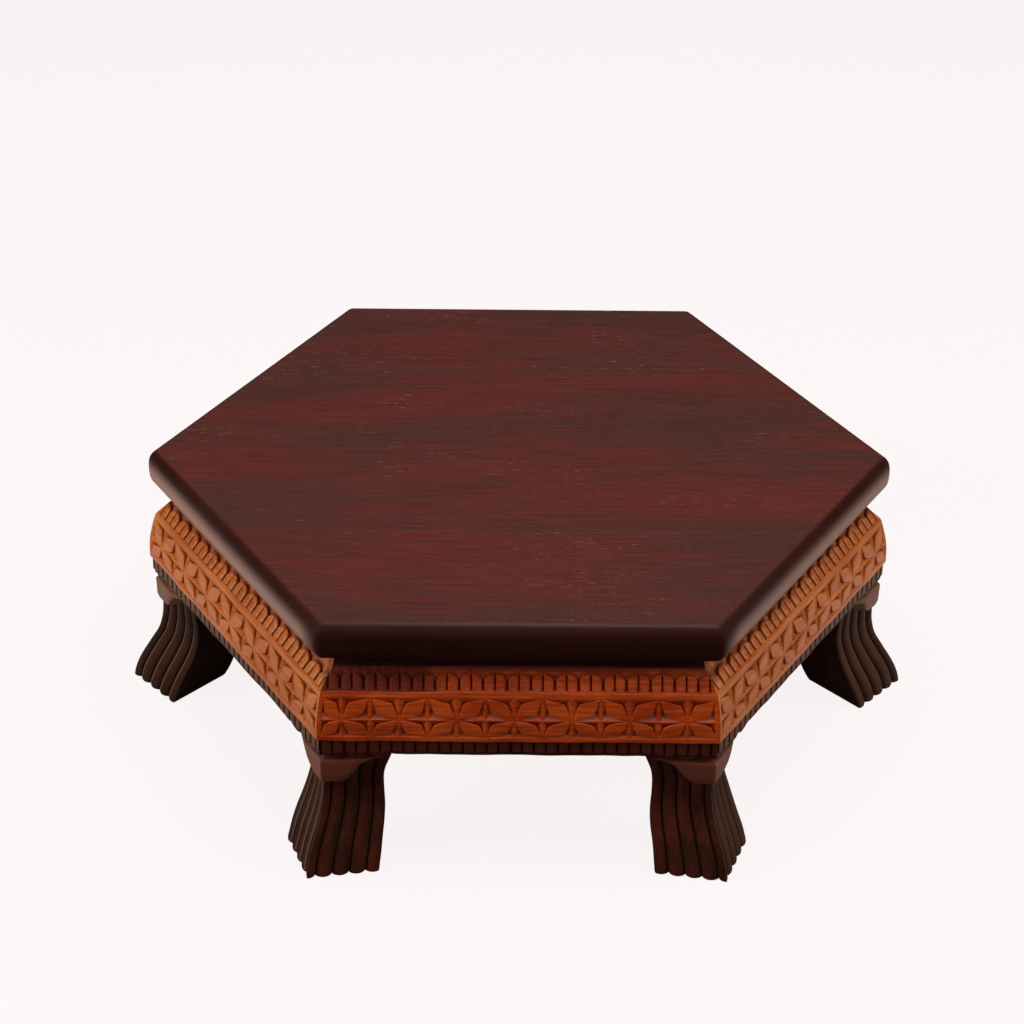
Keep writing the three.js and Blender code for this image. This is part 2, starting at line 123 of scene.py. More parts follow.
class Skin:
    """The grids of one piece, in millimetres."""

    def __init__(self):
        self.points, self.carve, self.faces, self.caps, self.count = [], [], [], [], 0

    def add(self, grid, carve=0.0, wrap=False):
        """Adds a grid of rows by columns by xyz, or many along leading axes. wrap makes each row of a single
        grid a ring, and closes the first and the last ring with a flat face."""
        grid = np.asarray(grid, float)
        rows, columns = grid.shape[-3:-1]
        index = np.arange(rows * columns).reshape(rows, columns)
        if wrap:
            self.caps += [(self.count + ring).tolist() for ring in (index[0, ::-1], index[-1])]
            index = np.hstack([index, index[:, :1]])
        quads = np.stack([index[:-1, :-1], index[:-1, 1:], index[1:, 1:], index[1:, :-1]], -1).reshape(-1, 4)
        copies = grid.reshape(-1, rows * columns, 3)
        starts = self.count + rows * columns * np.arange(len(copies))
        self.faces.append((starts[:, None, None] + quads).reshape(-1, 4))
        self.points.append(copies.reshape(-1, 3))
        self.carve.append(np.broadcast_to(carve, grid.shape[:-1]).ravel())
        self.count += copies.size // 3

    def mesh(self, name):
        """All grids and caps in one mesh, with the carved depth of each point."""
        points = np.concatenate(self.points)
        faces = np.concatenate(self.faces).tolist() + self.caps
        mesh = bpy.data.meshes.new(name)
        mesh.from_pydata((points * MM).tolist(), [], faces)
        put(mesh, "carve", np.concatenate(self.carve))
        return mesh


def put(mesh, name, values):
    """Stores a number for each point of the mesh, or one for all, under a name that the materials read."""
    layer = mesh.attributes.get(name) or mesh.attributes.new(name, "FLOAT", "POINT")
    every = np.broadcast_to(values, len(mesh.vertices))
    layer.data.foreach_set("value", np.ascontiguousarray(every, np.float32))


def stored(mesh, name):
    """The numbers that put() stored under a name."""
    values = np.empty(len(mesh.vertices), np.float32)
    mesh.attributes[name].data.foreach_get("value", values)
    return values


def places(mesh):
    """The mesh's points as an array, in metres."""
    points = np.empty(len(mesh.vertices) * 3, np.float32)
    mesh.vertices.foreach_get("co", points)
    return points.reshape(-1, 3).astype(float)


def close_up(mesh, cuts=(), crease=32):
    """Merges doubled points, cuts by planes, caps the cuts, turns faces outwards and keeps creases sharp."""
    bm = bmesh.new()
    bm.from_mesh(mesh)
    bmesh.ops.remove_doubles(bm, verts=bm.verts, dist=SAME_PLACE)
    for point, normal in cuts:
        everything = bm.verts[:] + bm.edges[:] + bm.faces[:]
        bmesh.ops.bisect_plane(bm, geom=everything, plane_co=point, plane_no=normal, clear_outer=True)
        bmesh.ops.holes_fill(bm, edges=[e for e in bm.edges if e.is_boundary], sides=0)
    bmesh.ops.dissolve_degenerate(bm, edges=bm.edges, dist=NO_LENGTH)
    bmesh.ops.recalc_face_normals(bm, faces=bm.faces)
    open_edges = sum(not e.is_manifold for e in bm.edges)
    bm.to_mesh(mesh)
    bm.free()
    mesh.polygons.foreach_set("use_smooth", np.ones(len(mesh.polygons), bool))
    mesh.set_sharp_from_angle(angle=math.radians(crease))
    print(mesh.name, len(mesh.polygons), "faces,", open_edges, "open edges")
    return mesh


def hand_wobble(points, reach, lengths, seed):
    """The unevenness of hand work: a sum of sine waves with lengths between two limits, flat at the floor."""
    rng = np.random.default_rng(seed)
    waves = rng.normal(size=(WAVES, 3))
    turns = 2 * math.pi / (MM * rng.uniform(*lengths, (WAVES, 1)))
    waves *= turns / np.linalg.norm(waves, axis=1, keepdims=True)
    ways = rng.normal(size=(WAVES, 3))
    ways /= np.linalg.norm(ways, axis=1, keepdims=True)
    swing = np.sin(points @ waves.T + rng.uniform(0, 2 * math.pi, WAVES))
    share = smoothstep(points[:, 2:] / MM, 0, FLAT_FEET)
    return points + (reach * MM / math.sqrt(WAVES / 2)) * (swing @ ways) * share


def dress(mesh, finish):
    """Makes one finish the only material of a mesh."""
    mesh.materials.clear()
    mesh.materials.append(finish)


def piece(name, mesh, finish, nodes, angle=0.0, seed=0, wobble=None):
    """Turns a finished mesh about the table's middle and sets it in the frame in place of its CAD nodes."""
    mesh = mesh.copy()
    mesh.name = name
    own = places(mesh) + OWN_SHIFT * seed
    layer = mesh.attributes.new("own_place", "FLOAT_VECTOR", "POINT")
    layer.data.foreach_set("vector", np.ascontiguousarray(own, np.float32).ravel())
    mesh.transform(Matrix.Rotation(angle, 4, "Z"))
    if wobble:
        moved = hand_wobble(places(mesh), *wobble)
        mesh.vertices.foreach_set("co", np.ascontiguousarray(moved, np.float32).ravel())
    mesh.update()
    dress(mesh, finish)
    made = bpy.data.objects.new(name, mesh)
    scene.collection.objects.link(made)
    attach(made, "root")
    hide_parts(*nodes)
    return made


print("halfway from 1 to 4 on a soft curve:", float(soft_curve(1.5, (0, 1, 2), (0, 1, 4))))

# %% [markdown]
# Materials are written as sums. A Value stands for a number or a vector that flows through a material's
# nodes, and adding or multiplying two of them adds the Math node that does it. All other nodes come from one
# method, which takes the node's type, its settings and what goes into its sockets. The nodes could be wired
# one by one, but a finish is easier to read and to change as an expression.

# %% Shader expressions
class Value:
    """A socket that Python's operators work on."""

    def __init__(self, finish, socket):
        self.finish, self.socket = finish, socket

    def __add__(self, other): return self.finish.math("ADD", self, other)
    def __radd__(self, other): return self.finish.math("ADD", other, self)
    def __sub__(self, other): return self.finish.math("SUBTRACT", self, other)
    def __rsub__(self, other): return self.finish.math("SUBTRACT", other, self)
    def __mul__(self, other): return self.finish.math("MULTIPLY", self, other)
    def __rmul__(self, other): return self.finish.math("MULTIPLY", other, self)


class Finish:
    """A material while it is being mixed."""

    def __init__(self, name):
        self.material = bpy.data.materials.new(name)
        self.material.use_nodes = True
        self.tree = self.material.node_tree
        self.tree.nodes.clear()

    def node(self, kind, settings=None, values=None, out=0):
        """Any node: its type, its settings, its sockets' values or links, and which socket comes out."""
        made = self.tree.nodes.new("ShaderNode" + kind)
        for name, setting in (settings or {}).items():
            setattr(made, name, setting)
        for name, value in (values or {}).items():
            if isinstance(value, Value):
                self.tree.links.new(value.socket, made.inputs[name])
            else:
                made.inputs[name].default_value = value
        return Value(self, made.outputs[out]) if made.outputs else None

    def math(self, operation, a, b):
        """One step of arithmetic on two values or numbers."""
        return self.node("Math", {"operation": operation}, {0: a, 1: b})

    def between(self, value, low, high):
        """0 up to low, 1 from high, soft between them."""
        return self.node("MapRange", {"interpolation_type": "SMOOTHSTEP"},
                         {"Value": value, "From Min": low, "From Max": high})

    def mix(self, share, a, b):
        """Colour a, and colour b by its share."""
        wide = [(*c, 1) if isinstance(c, tuple) else c for c in (a, b)]
        return self.node("Mix", {"data_type": "RGBA"}, {0: share, 6: wide[0], 7: wide[1]}, 2)

    def part(self, place, axis):
        """One of a vector's three numbers: 0, 1 or 2 for x, y or z."""
        return self.node("SeparateXYZ", None, {"Vector": place}, axis)

    def stored(self, name, kind="Fac"):
        """What the mesh stores for each point under a name."""
        return self.node("Attribute", {"attribute_name": name}, None, kind)

    def noise(self, place, stretch, detail=2.0, roughness=0.5):
        """Soft noise whose grains are 1/stretch metres long on each axis."""
        stretched = self.node("Mapping", None, {"Vector": place, "Scale": stretch})
        return self.node("TexNoise", None, {"Vector": stretched, "Scale": 1.0, "Detail": detail,
                                            "Roughness": roughness})

    def close(self, colour, roughness, height, depth, **constants):
        """Ends the material. The bump's depth is in metres, and constants go straight to the shader."""
        bump = self.node("Bump", None, {"Height": height, "Distance": depth, "Strength": 1.0})
        values = {"Base Color": colour, "Roughness": roughness, "Normal": bump}
        values.update({name.replace("_", " "): value for name, value in constants.items()})
        shader = self.node("BsdfPrincipled", None, values)
        self.node("OutputMaterial", None, {"Surface": shader})
        print(self.material.name, "has", len(self.tree.nodes), "nodes")
        return self.material


def rgb(red, green, blue):
    """A colour as a screen shows it, 0 to 255, in the linear numbers that light is counted in."""
    seen = np.array([red, green, blue]) / 255
    return tuple(float(v) for v in np.where(seen <= 0.04045, seen / 12.92, ((seen + 0.055) / 1.055) ** 2.4))


print("screen grey 128 is", round(rgb(128, 128, 128)[0], 3), "of full light")

# %% [markdown]
# The top is polished dark wood, red where the light gets into the grain and brown where the polish lies
# thick. A photograph of wood would show another tree's planks, so the figure is built the way a tree makes
# it. Growth rings are distances from a centre line that rises slowly through the plank, which draws pointed
# arches near that line and straight lines away from it. Streaks and pores lie along the grain, and so do pale
# flecks, painted specks of reflected light. The rounded rim is darker, and a paler, greyer painted sheen,
# which stands for reflection, shows on the lower half of the rim, except in front.

# %% Finish of the top
HEART_BESIDE, HEART_ALONG, HEART_RISE = 0.052, 0.03, 0.11
RING_WIDTH, RING_DRIFT = 0.0062, 0.014


def top_wood():
    """A ring's number is its distance from the heart, with soft noise added, in ring widths."""
    f = Finish("polished_top_wood")
    place, rim, painted_sheen = f.stored("own_place", "Vector"), f.stored("rim"), f.stored("painted_sheen")
    x, y = f.part(place, 0), f.part(place, 1)
    drift = f.noise(place, (5, 16, 16), 3) - 0.5
    across, along = y + HEART_BESIDE, (x - HEART_ALONG) * HEART_RISE
    ring = f.math("SQRT", across * across + along * along, 0.0) + drift * RING_DRIFT
    rings = f.math("SINE", ring * (2 * math.pi / RING_WIDTH), 0.0) * 0.5 + 0.5
    streak = f.noise(place, (13, 300, 300), 5, 0.6)
    pores = f.noise(place, (60, 1500, 1500), 2, 0.6)
    patch = f.noise(place, (3.2, 15, 15), 3, 0.55)
    red = f.between(patch * 0.62 + streak * 0.5, 0.46, 0.68)
    colour = f.mix(red, rgb(72, 41, 36), rgb(93, 38, 32))
    fine = f.noise(place, (20, 700, 700), 3, 0.6)
    colour = f.mix(f.between(fine + rings * 0.06, 0.46, 0.72) * 0.5, colour, rgb(56, 26, 22))
    colour = f.mix(f.between(pores, 0.54, 0.7) * 0.5, colour, rgb(44, 20, 17))
    # Pale flecks along the rings: painted specks of reflected light.
    painted_glint_speck = f.between(f.noise(place, (120, 1150, 1150), 1), 0.66, 0.74)
    where = f.between(f.noise(place, (7, 22, 22), 2), 0.45, 0.62) * f.between(rings, 0.2, 0.8)
    colour = f.mix(painted_glint_speck * where * 0.5, colour, rgb(150, 128, 122))
    colour = f.mix(rim * (0.7 + patch * 0.5), colour, rgb(42, 14, 8))
    # Painted sheen: a paler, greyer colour on the lower half of the rim, standing for reflection.
    colour = f.mix(painted_sheen, colour, rgb(156, 121, 107))
    roughness = 0.36 + patch * 0.1 + pores * 0.06 + rim * 0.16
    return f.close(colour, roughness, pores * 0.6 + streak * 0.4, 0.00016,
                   Specular_IOR_Level=0.05, Coat_Weight=(1.0 - rim) * 0.27, Coat_Roughness=0.33)


TOP_WOOD = top_wood()

# %% [markdown]
# The frieze is a paler, redder wood under a clear orange stain. Stain gathers in every cut, and the cuts are
# also painted darker as shade, so the carved depth that each point carries darkens the colour, and the high
# edges stay light. Another stored number says where dark stain ran, on the left of the front rail, and where
# shade is painted: black on the front neck under the board, darker in the cuts near the board and at the
# mitres. The grain runs along each rail, so the pattern reads the place in the rail's own frame and not in
# the room's.

# %% Finish of the frieze
CLEAR_COAT = 0.14


def frieze_wood():
    """The stain and the painted shade get the upper hand where their number and the noise pass a limit."""
    f = Finish("stained_frieze_wood")
    place, carve = f.stored("own_place", "Vector"), f.stored("carve")
    stain_and_shade, ruddy = f.stored("stain_and_shade"), f.stored("ruddy")
    streak = f.noise(place, (22, 420, 420), 4, 0.6)
    patch = f.noise(place, (14, 40, 40), 3, 0.55)
    pores = f.noise(place, (160, 1900, 1900), 2, 0.55)
    figure = f.between(streak * 0.6 + patch * 0.4, 0.36, 0.66)
    pale = f.mix(figure, rgb(166, 78, 24), rgb(196, 110, 48))
    deep = f.mix(figure, rgb(152, 46, 9), rgb(204, 82, 22))
    colour = f.mix(ruddy, pale, deep)
    colour = f.mix(f.between(pores, 0.6, 0.74) * 0.35, colour, rgb(112, 38, 8))
    # Stain gathered in the cuts, and painted shade in the deep cuts and at each leaf's foot, darken by depth.
    cut_stain_and_shade = f.between(carve + (patch - 0.5) * 0.3, 0.3, 1.0)
    colour = f.mix(cut_stain_and_shade * 0.8, colour, rgb(78, 20, 5))
    # Dark stain that ran on the front's left, and painted shade under the board, in the cuts and at the
    # mitres.
    spill_and_shade = f.between(f.noise(place, (60, 80, 80), 3) + stain_and_shade * 0.5, 0.62, 0.86) * stain_and_shade
    colour = f.mix(spill_and_shade * 0.8, colour, f.mix(ruddy, rgb(96, 36, 12), rgb(68, 19, 8)))
    # Painted black shadow on the front neck under the board.
    colour = f.mix(f.between(stain_and_shade, 1.1, 1.6), colour, rgb(40, 7, 3))
    roughness = 0.3 + patch * 0.14 + carve * 0.1 + f.between(stain_and_shade, 0.6, 1.4) * 0.5
    return f.close(colour, roughness, streak * 0.5 + pores * 0.5, 0.00012,
                   Specular_IOR_Level=0.14, Coat_Roughness=0.1,
                   Coat_Weight=CLEAR_COAT - f.between(stain_and_shade, 0.2, 0.6) * CLEAR_COAT)


FRIEZE_WOOD = frieze_wood()

# %% [markdown]
# Legs and aprons are the darkest wood. The grooves between the reeds are nearly black, partly polish and
# partly painted shade. A reddish brown shows where the wood is rubbed, on the knees and the crests, and is
# also painted as a highlight along one edge of each reed. Carved depths below zero stand for those places.

# %% Finish of the legs and aprons
def leg_wood():
    """Dark and reddish by soft noise, black in the grooves, pale below zero: rubbing and painted highlight.
    """
    f = Finish("dark_leg_wood")
    place, carve, ruddy = f.stored("own_place", "Vector"), f.stored("carve"), f.stored("ruddy")
    grain = f.noise(place, (300, 300, 26), 3, 0.6)
    patch = f.noise(place, (34, 34, 22), 3, 0.55)
    red = f.between(patch * 0.7 + grain * 0.4 - carve * 0.25, 0.42, 0.74)
    dark = f.mix(ruddy, rgb(43, 23, 13), rgb(46, 23, 14))
    colour = f.mix(red, dark, f.mix(ruddy, rgb(58, 32, 20), rgb(80, 31, 20)))
    # Black in the grooves: partly polish, partly painted shade.
    colour = f.mix(f.between(carve, 0.25, 1.0) * 0.8, colour, rgb(15, 6, 4))
    # Pale where rubbed, and painted highlight lines along the reeds on faces that look to the left.
    rubbed_and_highlight = f.between(0.0 - carve, ruddy * 0.3, ruddy * 0.5 + 1.0)
    colour = f.mix(rubbed_and_highlight, colour, f.mix(ruddy, rgb(120, 80, 61), rgb(101, 45, 33)))
    roughness = 0.34 + patch * 0.16
    return f.close(colour, roughness, grain, 0.00015, Specular_IOR_Level=0.04, Coat_Weight=0.03,
                   Coat_Roughness=0.2)


LEG_WOOD = leg_wood()

# %% [markdown]
# Under the table the wood is bare. Battens and glue blocks keep their CAD shapes, sawn and square, so they
# only need the look of plain planed wood, with darker grain lines and a dull surface. The screws are zinc
# plated steel with faint marks of the driver and of handling.

# %% Finishes of the bare wood and the screws
def plain_wood():
    """Fine noise stretched along Y draws the grain."""
    f = Finish("bare_inner_wood")
    place = f.node("TexCoord", None, None, "Object")
    grain = f.noise(place, (260, 24, 260), 4, 0.6)
    patch = f.noise(place, (12, 5, 12), 2)
    colour = f.mix(f.between(grain * 0.7 + patch * 0.4, 0.4, 0.72), rgb(118, 80, 46), rgb(168, 126, 82))
    return f.close(colour, 0.68 + patch * 0.2, grain, 0.0002, Specular_IOR_Level=0.3)


def screw_steel():
    """Soft noise on the colour and the gloss draws the marks of handling."""
    f = Finish("plated_screw_steel")
    place = f.node("TexCoord", None, None, "Object")
    smear = f.noise(place, (700, 700, 700), 3)
    colour = f.mix(smear, rgb(168, 168, 162), rgb(206, 205, 198))
    return f.close(colour, 0.26 + smear * 0.22, smear, 0.00004, Metallic=1.0)


PLAIN_WOOD, SCREW_STEEL = plain_wood(), screw_steel()
for name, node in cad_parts.items():
    if name.startswith(("batten", "glue_block")):
        dress(node.data, PLAIN_WOOD)
    elif "screw" in name:
        dress(node.data, SCREW_STEEL)

# %% [markdown]
# The board is four planks glued edge to edge and cut to a hexagon, with a rounded rim. It could be an
# extruded hexagon with a bevel. Here the rim's profile is carried round the outline, which gives the soft,
# nearly flat-faced edge exactly, and the finished board is then sawn along the glue lines, so each plank is
# its own closed piece. Two stored numbers, for the rim and for the painted sheen on its lower half, tell the
# finish where they are.

# %% The planks
BOARD_APOTHEM, BOARD_RADIUS, BOARD_LOW, BOARD_THICK = 259.8, 7.0, 187.6, 29.9
RIM_IN, RIM_UNDER, RIM_POWER, CAP_IN = 9.5, 6.0, 2.8, 2
RADIUS_LOSS, LEAST_RADIUS = 0.6, 2.2
RIM_FADE = (BOARD_APOTHEM - RIM_IN + 1, BOARD_APOTHEM - RIM_IN + 5)
PAINTED_SHEEN_FADE, FRONT_FADE = (197, 213), (246, 256)
SEAM_SHARES = (-0.469, 0.039, 0.557)
PLANKS = {"plank_front": 2, "plank_mid_front": 0, "plank_mid_back": 5, "plank_back": 3}


def rounded_hexagon(inset):
    """Corner centre plus radius times the unit vector of the arc's angle, with straight runs between arcs."""
    radius = max(BOARD_RADIUS - RADIUS_LOSS * inset, LEAST_RADIUS)
    reach = (BOARD_APOTHEM - inset - radius) / COS30
    corner = SIXTH * np.arange(6)[:, None]
    angle = corner + np.linspace(-SIXTH / 2, SIXTH / 2, 9)
    arc = np.stack([reach * np.cos(corner) + radius * np.cos(angle),
                    reach * np.sin(corner) + radius * np.sin(angle)], -1)
    share = np.linspace(0, 1, 13)[1:-1, None]
    run = arc[:, -1:] * (1 - share) + np.roll(arc, -1, 0)[:, :1] * share
    return np.concatenate([arc, run], 1).reshape(-1, 2)


def board_mesh():
    """Height follows s, the sine of -90 to 90 degrees, and the rim draws in as 1 - (1 - s^2.8)^0.5."""
    turn = np.sin(np.linspace(-math.pi / 2, math.pi / 2, 27))
    drawn = 1 - np.sqrt(np.clip(1 - np.abs(turn) ** RIM_POWER, 0, 1))
    inset = np.where(turn > 0, RIM_IN, RIM_UNDER) * drawn
    height = BOARD_LOW + BOARD_THICK * (turn + 1) / 2
    inset = np.concatenate([[RIM_UNDER + CAP_IN], inset, [RIM_IN + CAP_IN]])
    height = np.concatenate([[BOARD_LOW], height, [BOARD_LOW + BOARD_THICK]])
    rings = np.stack([rounded_hexagon(i) for i in inset])
    level = np.broadcast_to(height[:, None, None], (*rings.shape[:2], 1))
    skin = Skin()
    skin.add(np.concatenate([rings, level], -1), wrap=True)
    return skin.mesh("board")


board = board_mesh()
seams = [-math.inf, *(share * BOARD_APOTHEM for share in SEAM_SHARES), math.inf]
for i, (name, seed) in enumerate(PLANKS.items()):
    cuts = [((0, seam * MM, 0), (0, way, 0)) for seam, way in ((seams[i], -1), (seams[i + 1], 1))
            if math.isfinite(seam)]
    sawn = close_up(board.copy(), cuts, 40)
    x, y, z = places(sawn).T / MM
    apothem = np.maximum(np.abs(y), np.abs(x) * COS30 + np.abs(y) * SIN30)
    put(sawn, "rim", smoothstep(apothem, *RIM_FADE))
    # The painted sheen: the lower half of the rim, fading out towards the front.
    put(sawn, "painted_sheen", (1 - smoothstep(z, *PAINTED_SHEEN_FADE)) * (1 - smoothstep(-y, *FRONT_FADE)))
    plank = piece(name + "_wood", sawn, TOP_WOOD, [name], seed=seed)
    edge = plank.modifiers.new("eased_edges", "BEVEL")
    edge.width, edge.segments, edge.limit_method = 0.25 * MM, 2, "ANGLE"
    edge.angle_limit = math.radians(55)

# %% [markdown]
# The band of stars is chip carving. The carver marks a grid, leaves four pointed leaves to each star, and
# cuts everything between them down to the leaves' edges in flat chips. A height map over a fine grid would
# show steps along every slanting edge. So one quarter of a star is described once, as patches that run from a
# ridge or border to the edge of the leaf, and numpy repeats it over the whole rail, with the last quarters
# drawn in to follow the mitre.

# %% One quarter of a star
BAND_APOTHEM, BAND_LOW, BAND_HIGH = 261.6, 117.5, 158.5
STARS, BORDER_TOP, BORDER_BOTTOM, BORDER_END = 7, 4.45, 3.8, 2.2
STAR_LEVEL = BAND_LOW + 0.455 * (BAND_HIGH - BAND_LOW)
EVEN_RAIL = (2 * (BAND_APOTHEM * TAN30 - BORDER_END) / STARS, 0.0)
FRONT_RAIL = (43.1, -3.4)
CHIP_DEPTH, RIDGE_DEPTH, RIDGE_DIP, LEAST_FOOT = 3.2, 0.35, 0.3, 0.5
EDGE_DEPTH, TOP_DEPTH, FOOT_OUT, TOP_IN = 0.42, 0.12, 1.03, 0.955
STEPS = np.linspace(0, 1, 9)


def bend(a, b, c):
    """A curve from a to c that leans towards b: (1-s)^2 a + 2s(1-s) b + s^2 c."""
    s = STEPS[:, None]
    return (1 - s) ** 2 * np.array(a) + 2 * s * (1 - s) * np.array(b) + s**2 * np.array(c)


def joined(first, second):
    """Two curves in one, without the point that they share."""
    return np.concatenate([first, second[1:]])


ROOT, TIP, LOW_SHOULDER, HIGH_SHOULDER = (0.06, 0.05), (0.965, 0.97), (0.79, 0.33), (0.26, 0.73)
leaf_low = joined(bend(ROOT, (0.46, 0.07), LOW_SHOULDER), bend(LOW_SHOULDER, (0.86, 0.62), TIP))
leaf_high = joined(bend(ROOT, (0.13, 0.42), HIGH_SHOULDER), bend(HIGH_SHOULDER, (0.58, 0.86), TIP))
leaf_middle = (leaf_low.mean(0) + leaf_high.mean(0)) / 2
foot_depth = np.maximum(CHIP_DEPTH * (1 - np.abs(np.linspace(-1, 1, len(leaf_low)))), LEAST_FOOT)


def grown(edge, share):
    """The leaf's edge moved away from the leaf's middle by a share of its distance."""
    return leaf_middle + (edge - leaf_middle) * share


def patch(first, first_depth, second, second_depth, rows, swell=0.0):
    """Straight lines from one edge to another. swell raises the middle as 4t(1-t)."""
    t = np.asarray(rows, float)[:, None]
    flat = (1 - t)[..., None] * first + t[..., None] * second
    depth = (1 - t) * first_depth + t * second_depth - swell * 4 * t * (1 - t)
    return np.concatenate([flat, np.broadcast_to(depth, flat.shape[:2])[..., None]], -1)


def quarter_star():
    """Patches of (across, up, depth), in shares of a quarter that starts at the star's centre. Four slope to
    the leaf's foot, two climb to its edge, two round the edge, and one is its top."""
    zero, one, dip = np.zeros_like(STEPS), np.ones_like(STEPS), RIDGE_DIP * np.sin(math.pi * STEPS)
    low, high = grown(leaf_low, FOOT_OUT), grown(leaf_high, FOOT_OUT)
    top_low, top_high = grown(leaf_low, TOP_IN), grown(leaf_high, TOP_IN)
    fading = RIDGE_DEPTH * (1 - STEPS) + dip
    n, ramp = len(STEPS), (0, 0.07, 0.35, 0.68, 0.92, 1)
    return [
        patch(np.stack([STEPS, zero], 1), RIDGE_DEPTH + dip, low[:n], foot_depth[:n], ramp),
        patch(np.stack([one, STEPS], 1), fading, low[n - 1:], foot_depth[n - 1:], ramp),
        patch(np.stack([zero, STEPS], 1), fading, high[:n], foot_depth[:n], ramp),
        patch(np.stack([STEPS, one], 1), zero, high[n - 1:], foot_depth[n - 1:], ramp),
        patch(low, foot_depth, leaf_low, EDGE_DEPTH, (0, 1)),
        patch(high, foot_depth, leaf_high, EDGE_DEPTH, (0, 1)),
        patch(leaf_low, EDGE_DEPTH, top_low, TOP_DEPTH, (0, 1)),
        patch(leaf_high, EDGE_DEPTH, top_high, TOP_DEPTH, (0, 1)),
        patch(top_low, TOP_DEPTH, top_high, TOP_DEPTH, (0, 0.2, 0.4, 0.6, 0.8, 1), TOP_DEPTH),
    ]


QUARTER = quarter_star()
print("a quarter of a star has", len(QUARTER), "patches; the even pitch is", round(EVEN_RAIL[0], 2), "mm")

# %% [markdown]
# The stars lie between two plain borders, on a face that is upright below and leans back above. A flat band
# could be modelled and bent afterwards. Here each point is put on the curved face as it is made, and sunk
# along the face's normal, so the cuts keep their depth. The ends run past the mitres and are then sawn off.

# %% The star band of one rail
BAND_IN, BAND_UPRIGHT, BAND_BOW, RAIL_INNER = 5.8, 124, 1.8, 231.6
HALF_ROW, OVERRUN, END_FADE, PAINTED_FOOT_SHADE = STARS / 2, 3.9, 0.05, 0.9
EASE_BELOW, EASE_ABOVE, BORDER_LEVELS = 0.7, 0.6, (155.8, 157.2, 158.0)


def band_apothem(z):
    """Upright at first, then drawn in as the power 1.8 of the share of the height."""
    return BAND_APOTHEM - BAND_IN * np.clip((z - BAND_UPRIGHT) / (BAND_HIGH - BAND_UPRIGHT), 0, 1) ** BAND_BOW


def drawn_in(x, apothem, rail):
    """Beyond three pitches, x is squeezed so that 3.5 pitches meets the border along the mitre."""
    pitch, shift = rail
    hand, start = np.sign(x), STARS // 2 * pitch
    room = apothem * TAN30 - BORDER_END - hand * shift - start
    beyond = np.clip(np.abs(x) - start, 0, pitch / 2) * room / (pitch / 2)
    past = np.clip(np.abs(x) - HALF_ROW * pitch, 0, None)
    return shift + hand * (np.minimum(np.abs(x), start) + beyond + past)


def on_band(x, z, depth, rail):
    """The point of the front rail's face at x and height z, sunk by depth along the face's normal."""
    lean = (band_apothem(z + 0.01) - band_apothem(z - 0.01)) / 0.02
    length = np.hypot(1, lean)
    apothem = band_apothem(z)
    return np.stack([drawn_in(x, apothem, rail), -(apothem - depth / length), z + depth * lean / length], -1)


def section_grid(columns, section, rail):
    """Carries rows of (apothem, height) along the columns of x."""
    section = np.asarray(section, float)
    x = drawn_in(columns[None, :], section[:, :1], rail)
    rows = np.broadcast_to(section[:, None, :], (*x.shape, 2))
    return np.stack([x, -rows[..., 0], rows[..., 1]], -1)


def star_band(rail):
    """A rail is its pitch and its middle star's distance from the middle. Each leaf's foot gets painted
    shade.
    """
    skin, pitch = Skin(), rail[0]
    star = pitch * (np.arange(STARS) - STARS // 2)[:, None, None, None, None]
    hand = np.array([1, -1])[None, :, None, None, None]
    above = np.array([True, False])[None, None, :, None, None]
    rise, fall = BAND_HIGH - BORDER_TOP - STAR_LEVEL, STAR_LEVEL - BAND_LOW - BORDER_BOTTOM
    for i, (across, up, depth) in enumerate(np.moveaxis(p, -1, 0) for p in QUARTER):
        x = star + hand * across * pitch / 2 + 0 * above
        z = STAR_LEVEL + np.where(above, up * rise, -up * fall) + 0 * x
        inside = np.clip((HALF_ROW * pitch - np.abs(x)) / (END_FADE * pitch), 0, 1)
        shade = np.clip(depth * inside / CHIP_DEPTH, 0, 1)
        # A painted shade line along each leaf's foot, where its wall meets the chips.
        if i < 6:
            foot = -1 if i < 4 else 0
            shade[..., foot, :] = np.maximum(shade[..., foot, :], PAINTED_FOOT_SHADE * inside[..., foot, :])
        skin.add(on_band(x, z, depth * inside, rail), shade)
    columns = np.unique(np.round(star.ravel()[:, None] + np.outer([1, -1], STEPS).ravel() * pitch / 2, 7))
    low_levels = np.array([BAND_LOW + EASE_BELOW, BAND_LOW + BORDER_BOTTOM])
    high_levels = np.array([BAND_HIGH - BORDER_TOP, *BORDER_LEVELS])
    below = np.array([[RAIL_INNER, BAND_LOW], [BAND_APOTHEM - EASE_BELOW, BAND_LOW],
                      *np.stack([band_apothem(low_levels), low_levels], 1)])
    over = np.array([*np.stack([band_apothem(high_levels), high_levels], 1),
                     [band_apothem(BAND_HIGH) - EASE_ABOVE, BAND_HIGH], [RAIL_INNER, BAND_HIGH]])
    for section in (below, over, np.array([over[-1], below[0]])):
        skin.add(section_grid(columns, section, rail))
    levels = np.concatenate([STAR_LEVEL - fall * STEPS[::-1], STAR_LEVEL + rise * STEPS[1:]])
    middle = np.stack([band_apothem(levels), levels], 1)[1:-1]
    ring = np.concatenate([below, middle, over, below[:1]])
    for outside in ((HALF_ROW, OVERRUN), (-OVERRUN, -HALF_ROW)):
        skin.add(section_grid(np.array(outside) * pitch, ring, rail))
    return skin.mesh("star_band")


MITRES = [((0, 0, 0), (side * COS30, SIN30, 0)) for side in (1, -1)]
even_band, front_band = (close_up(star_band(rail), MITRES, 24) for rail in (EVEN_RAIL, FRONT_RAIL))

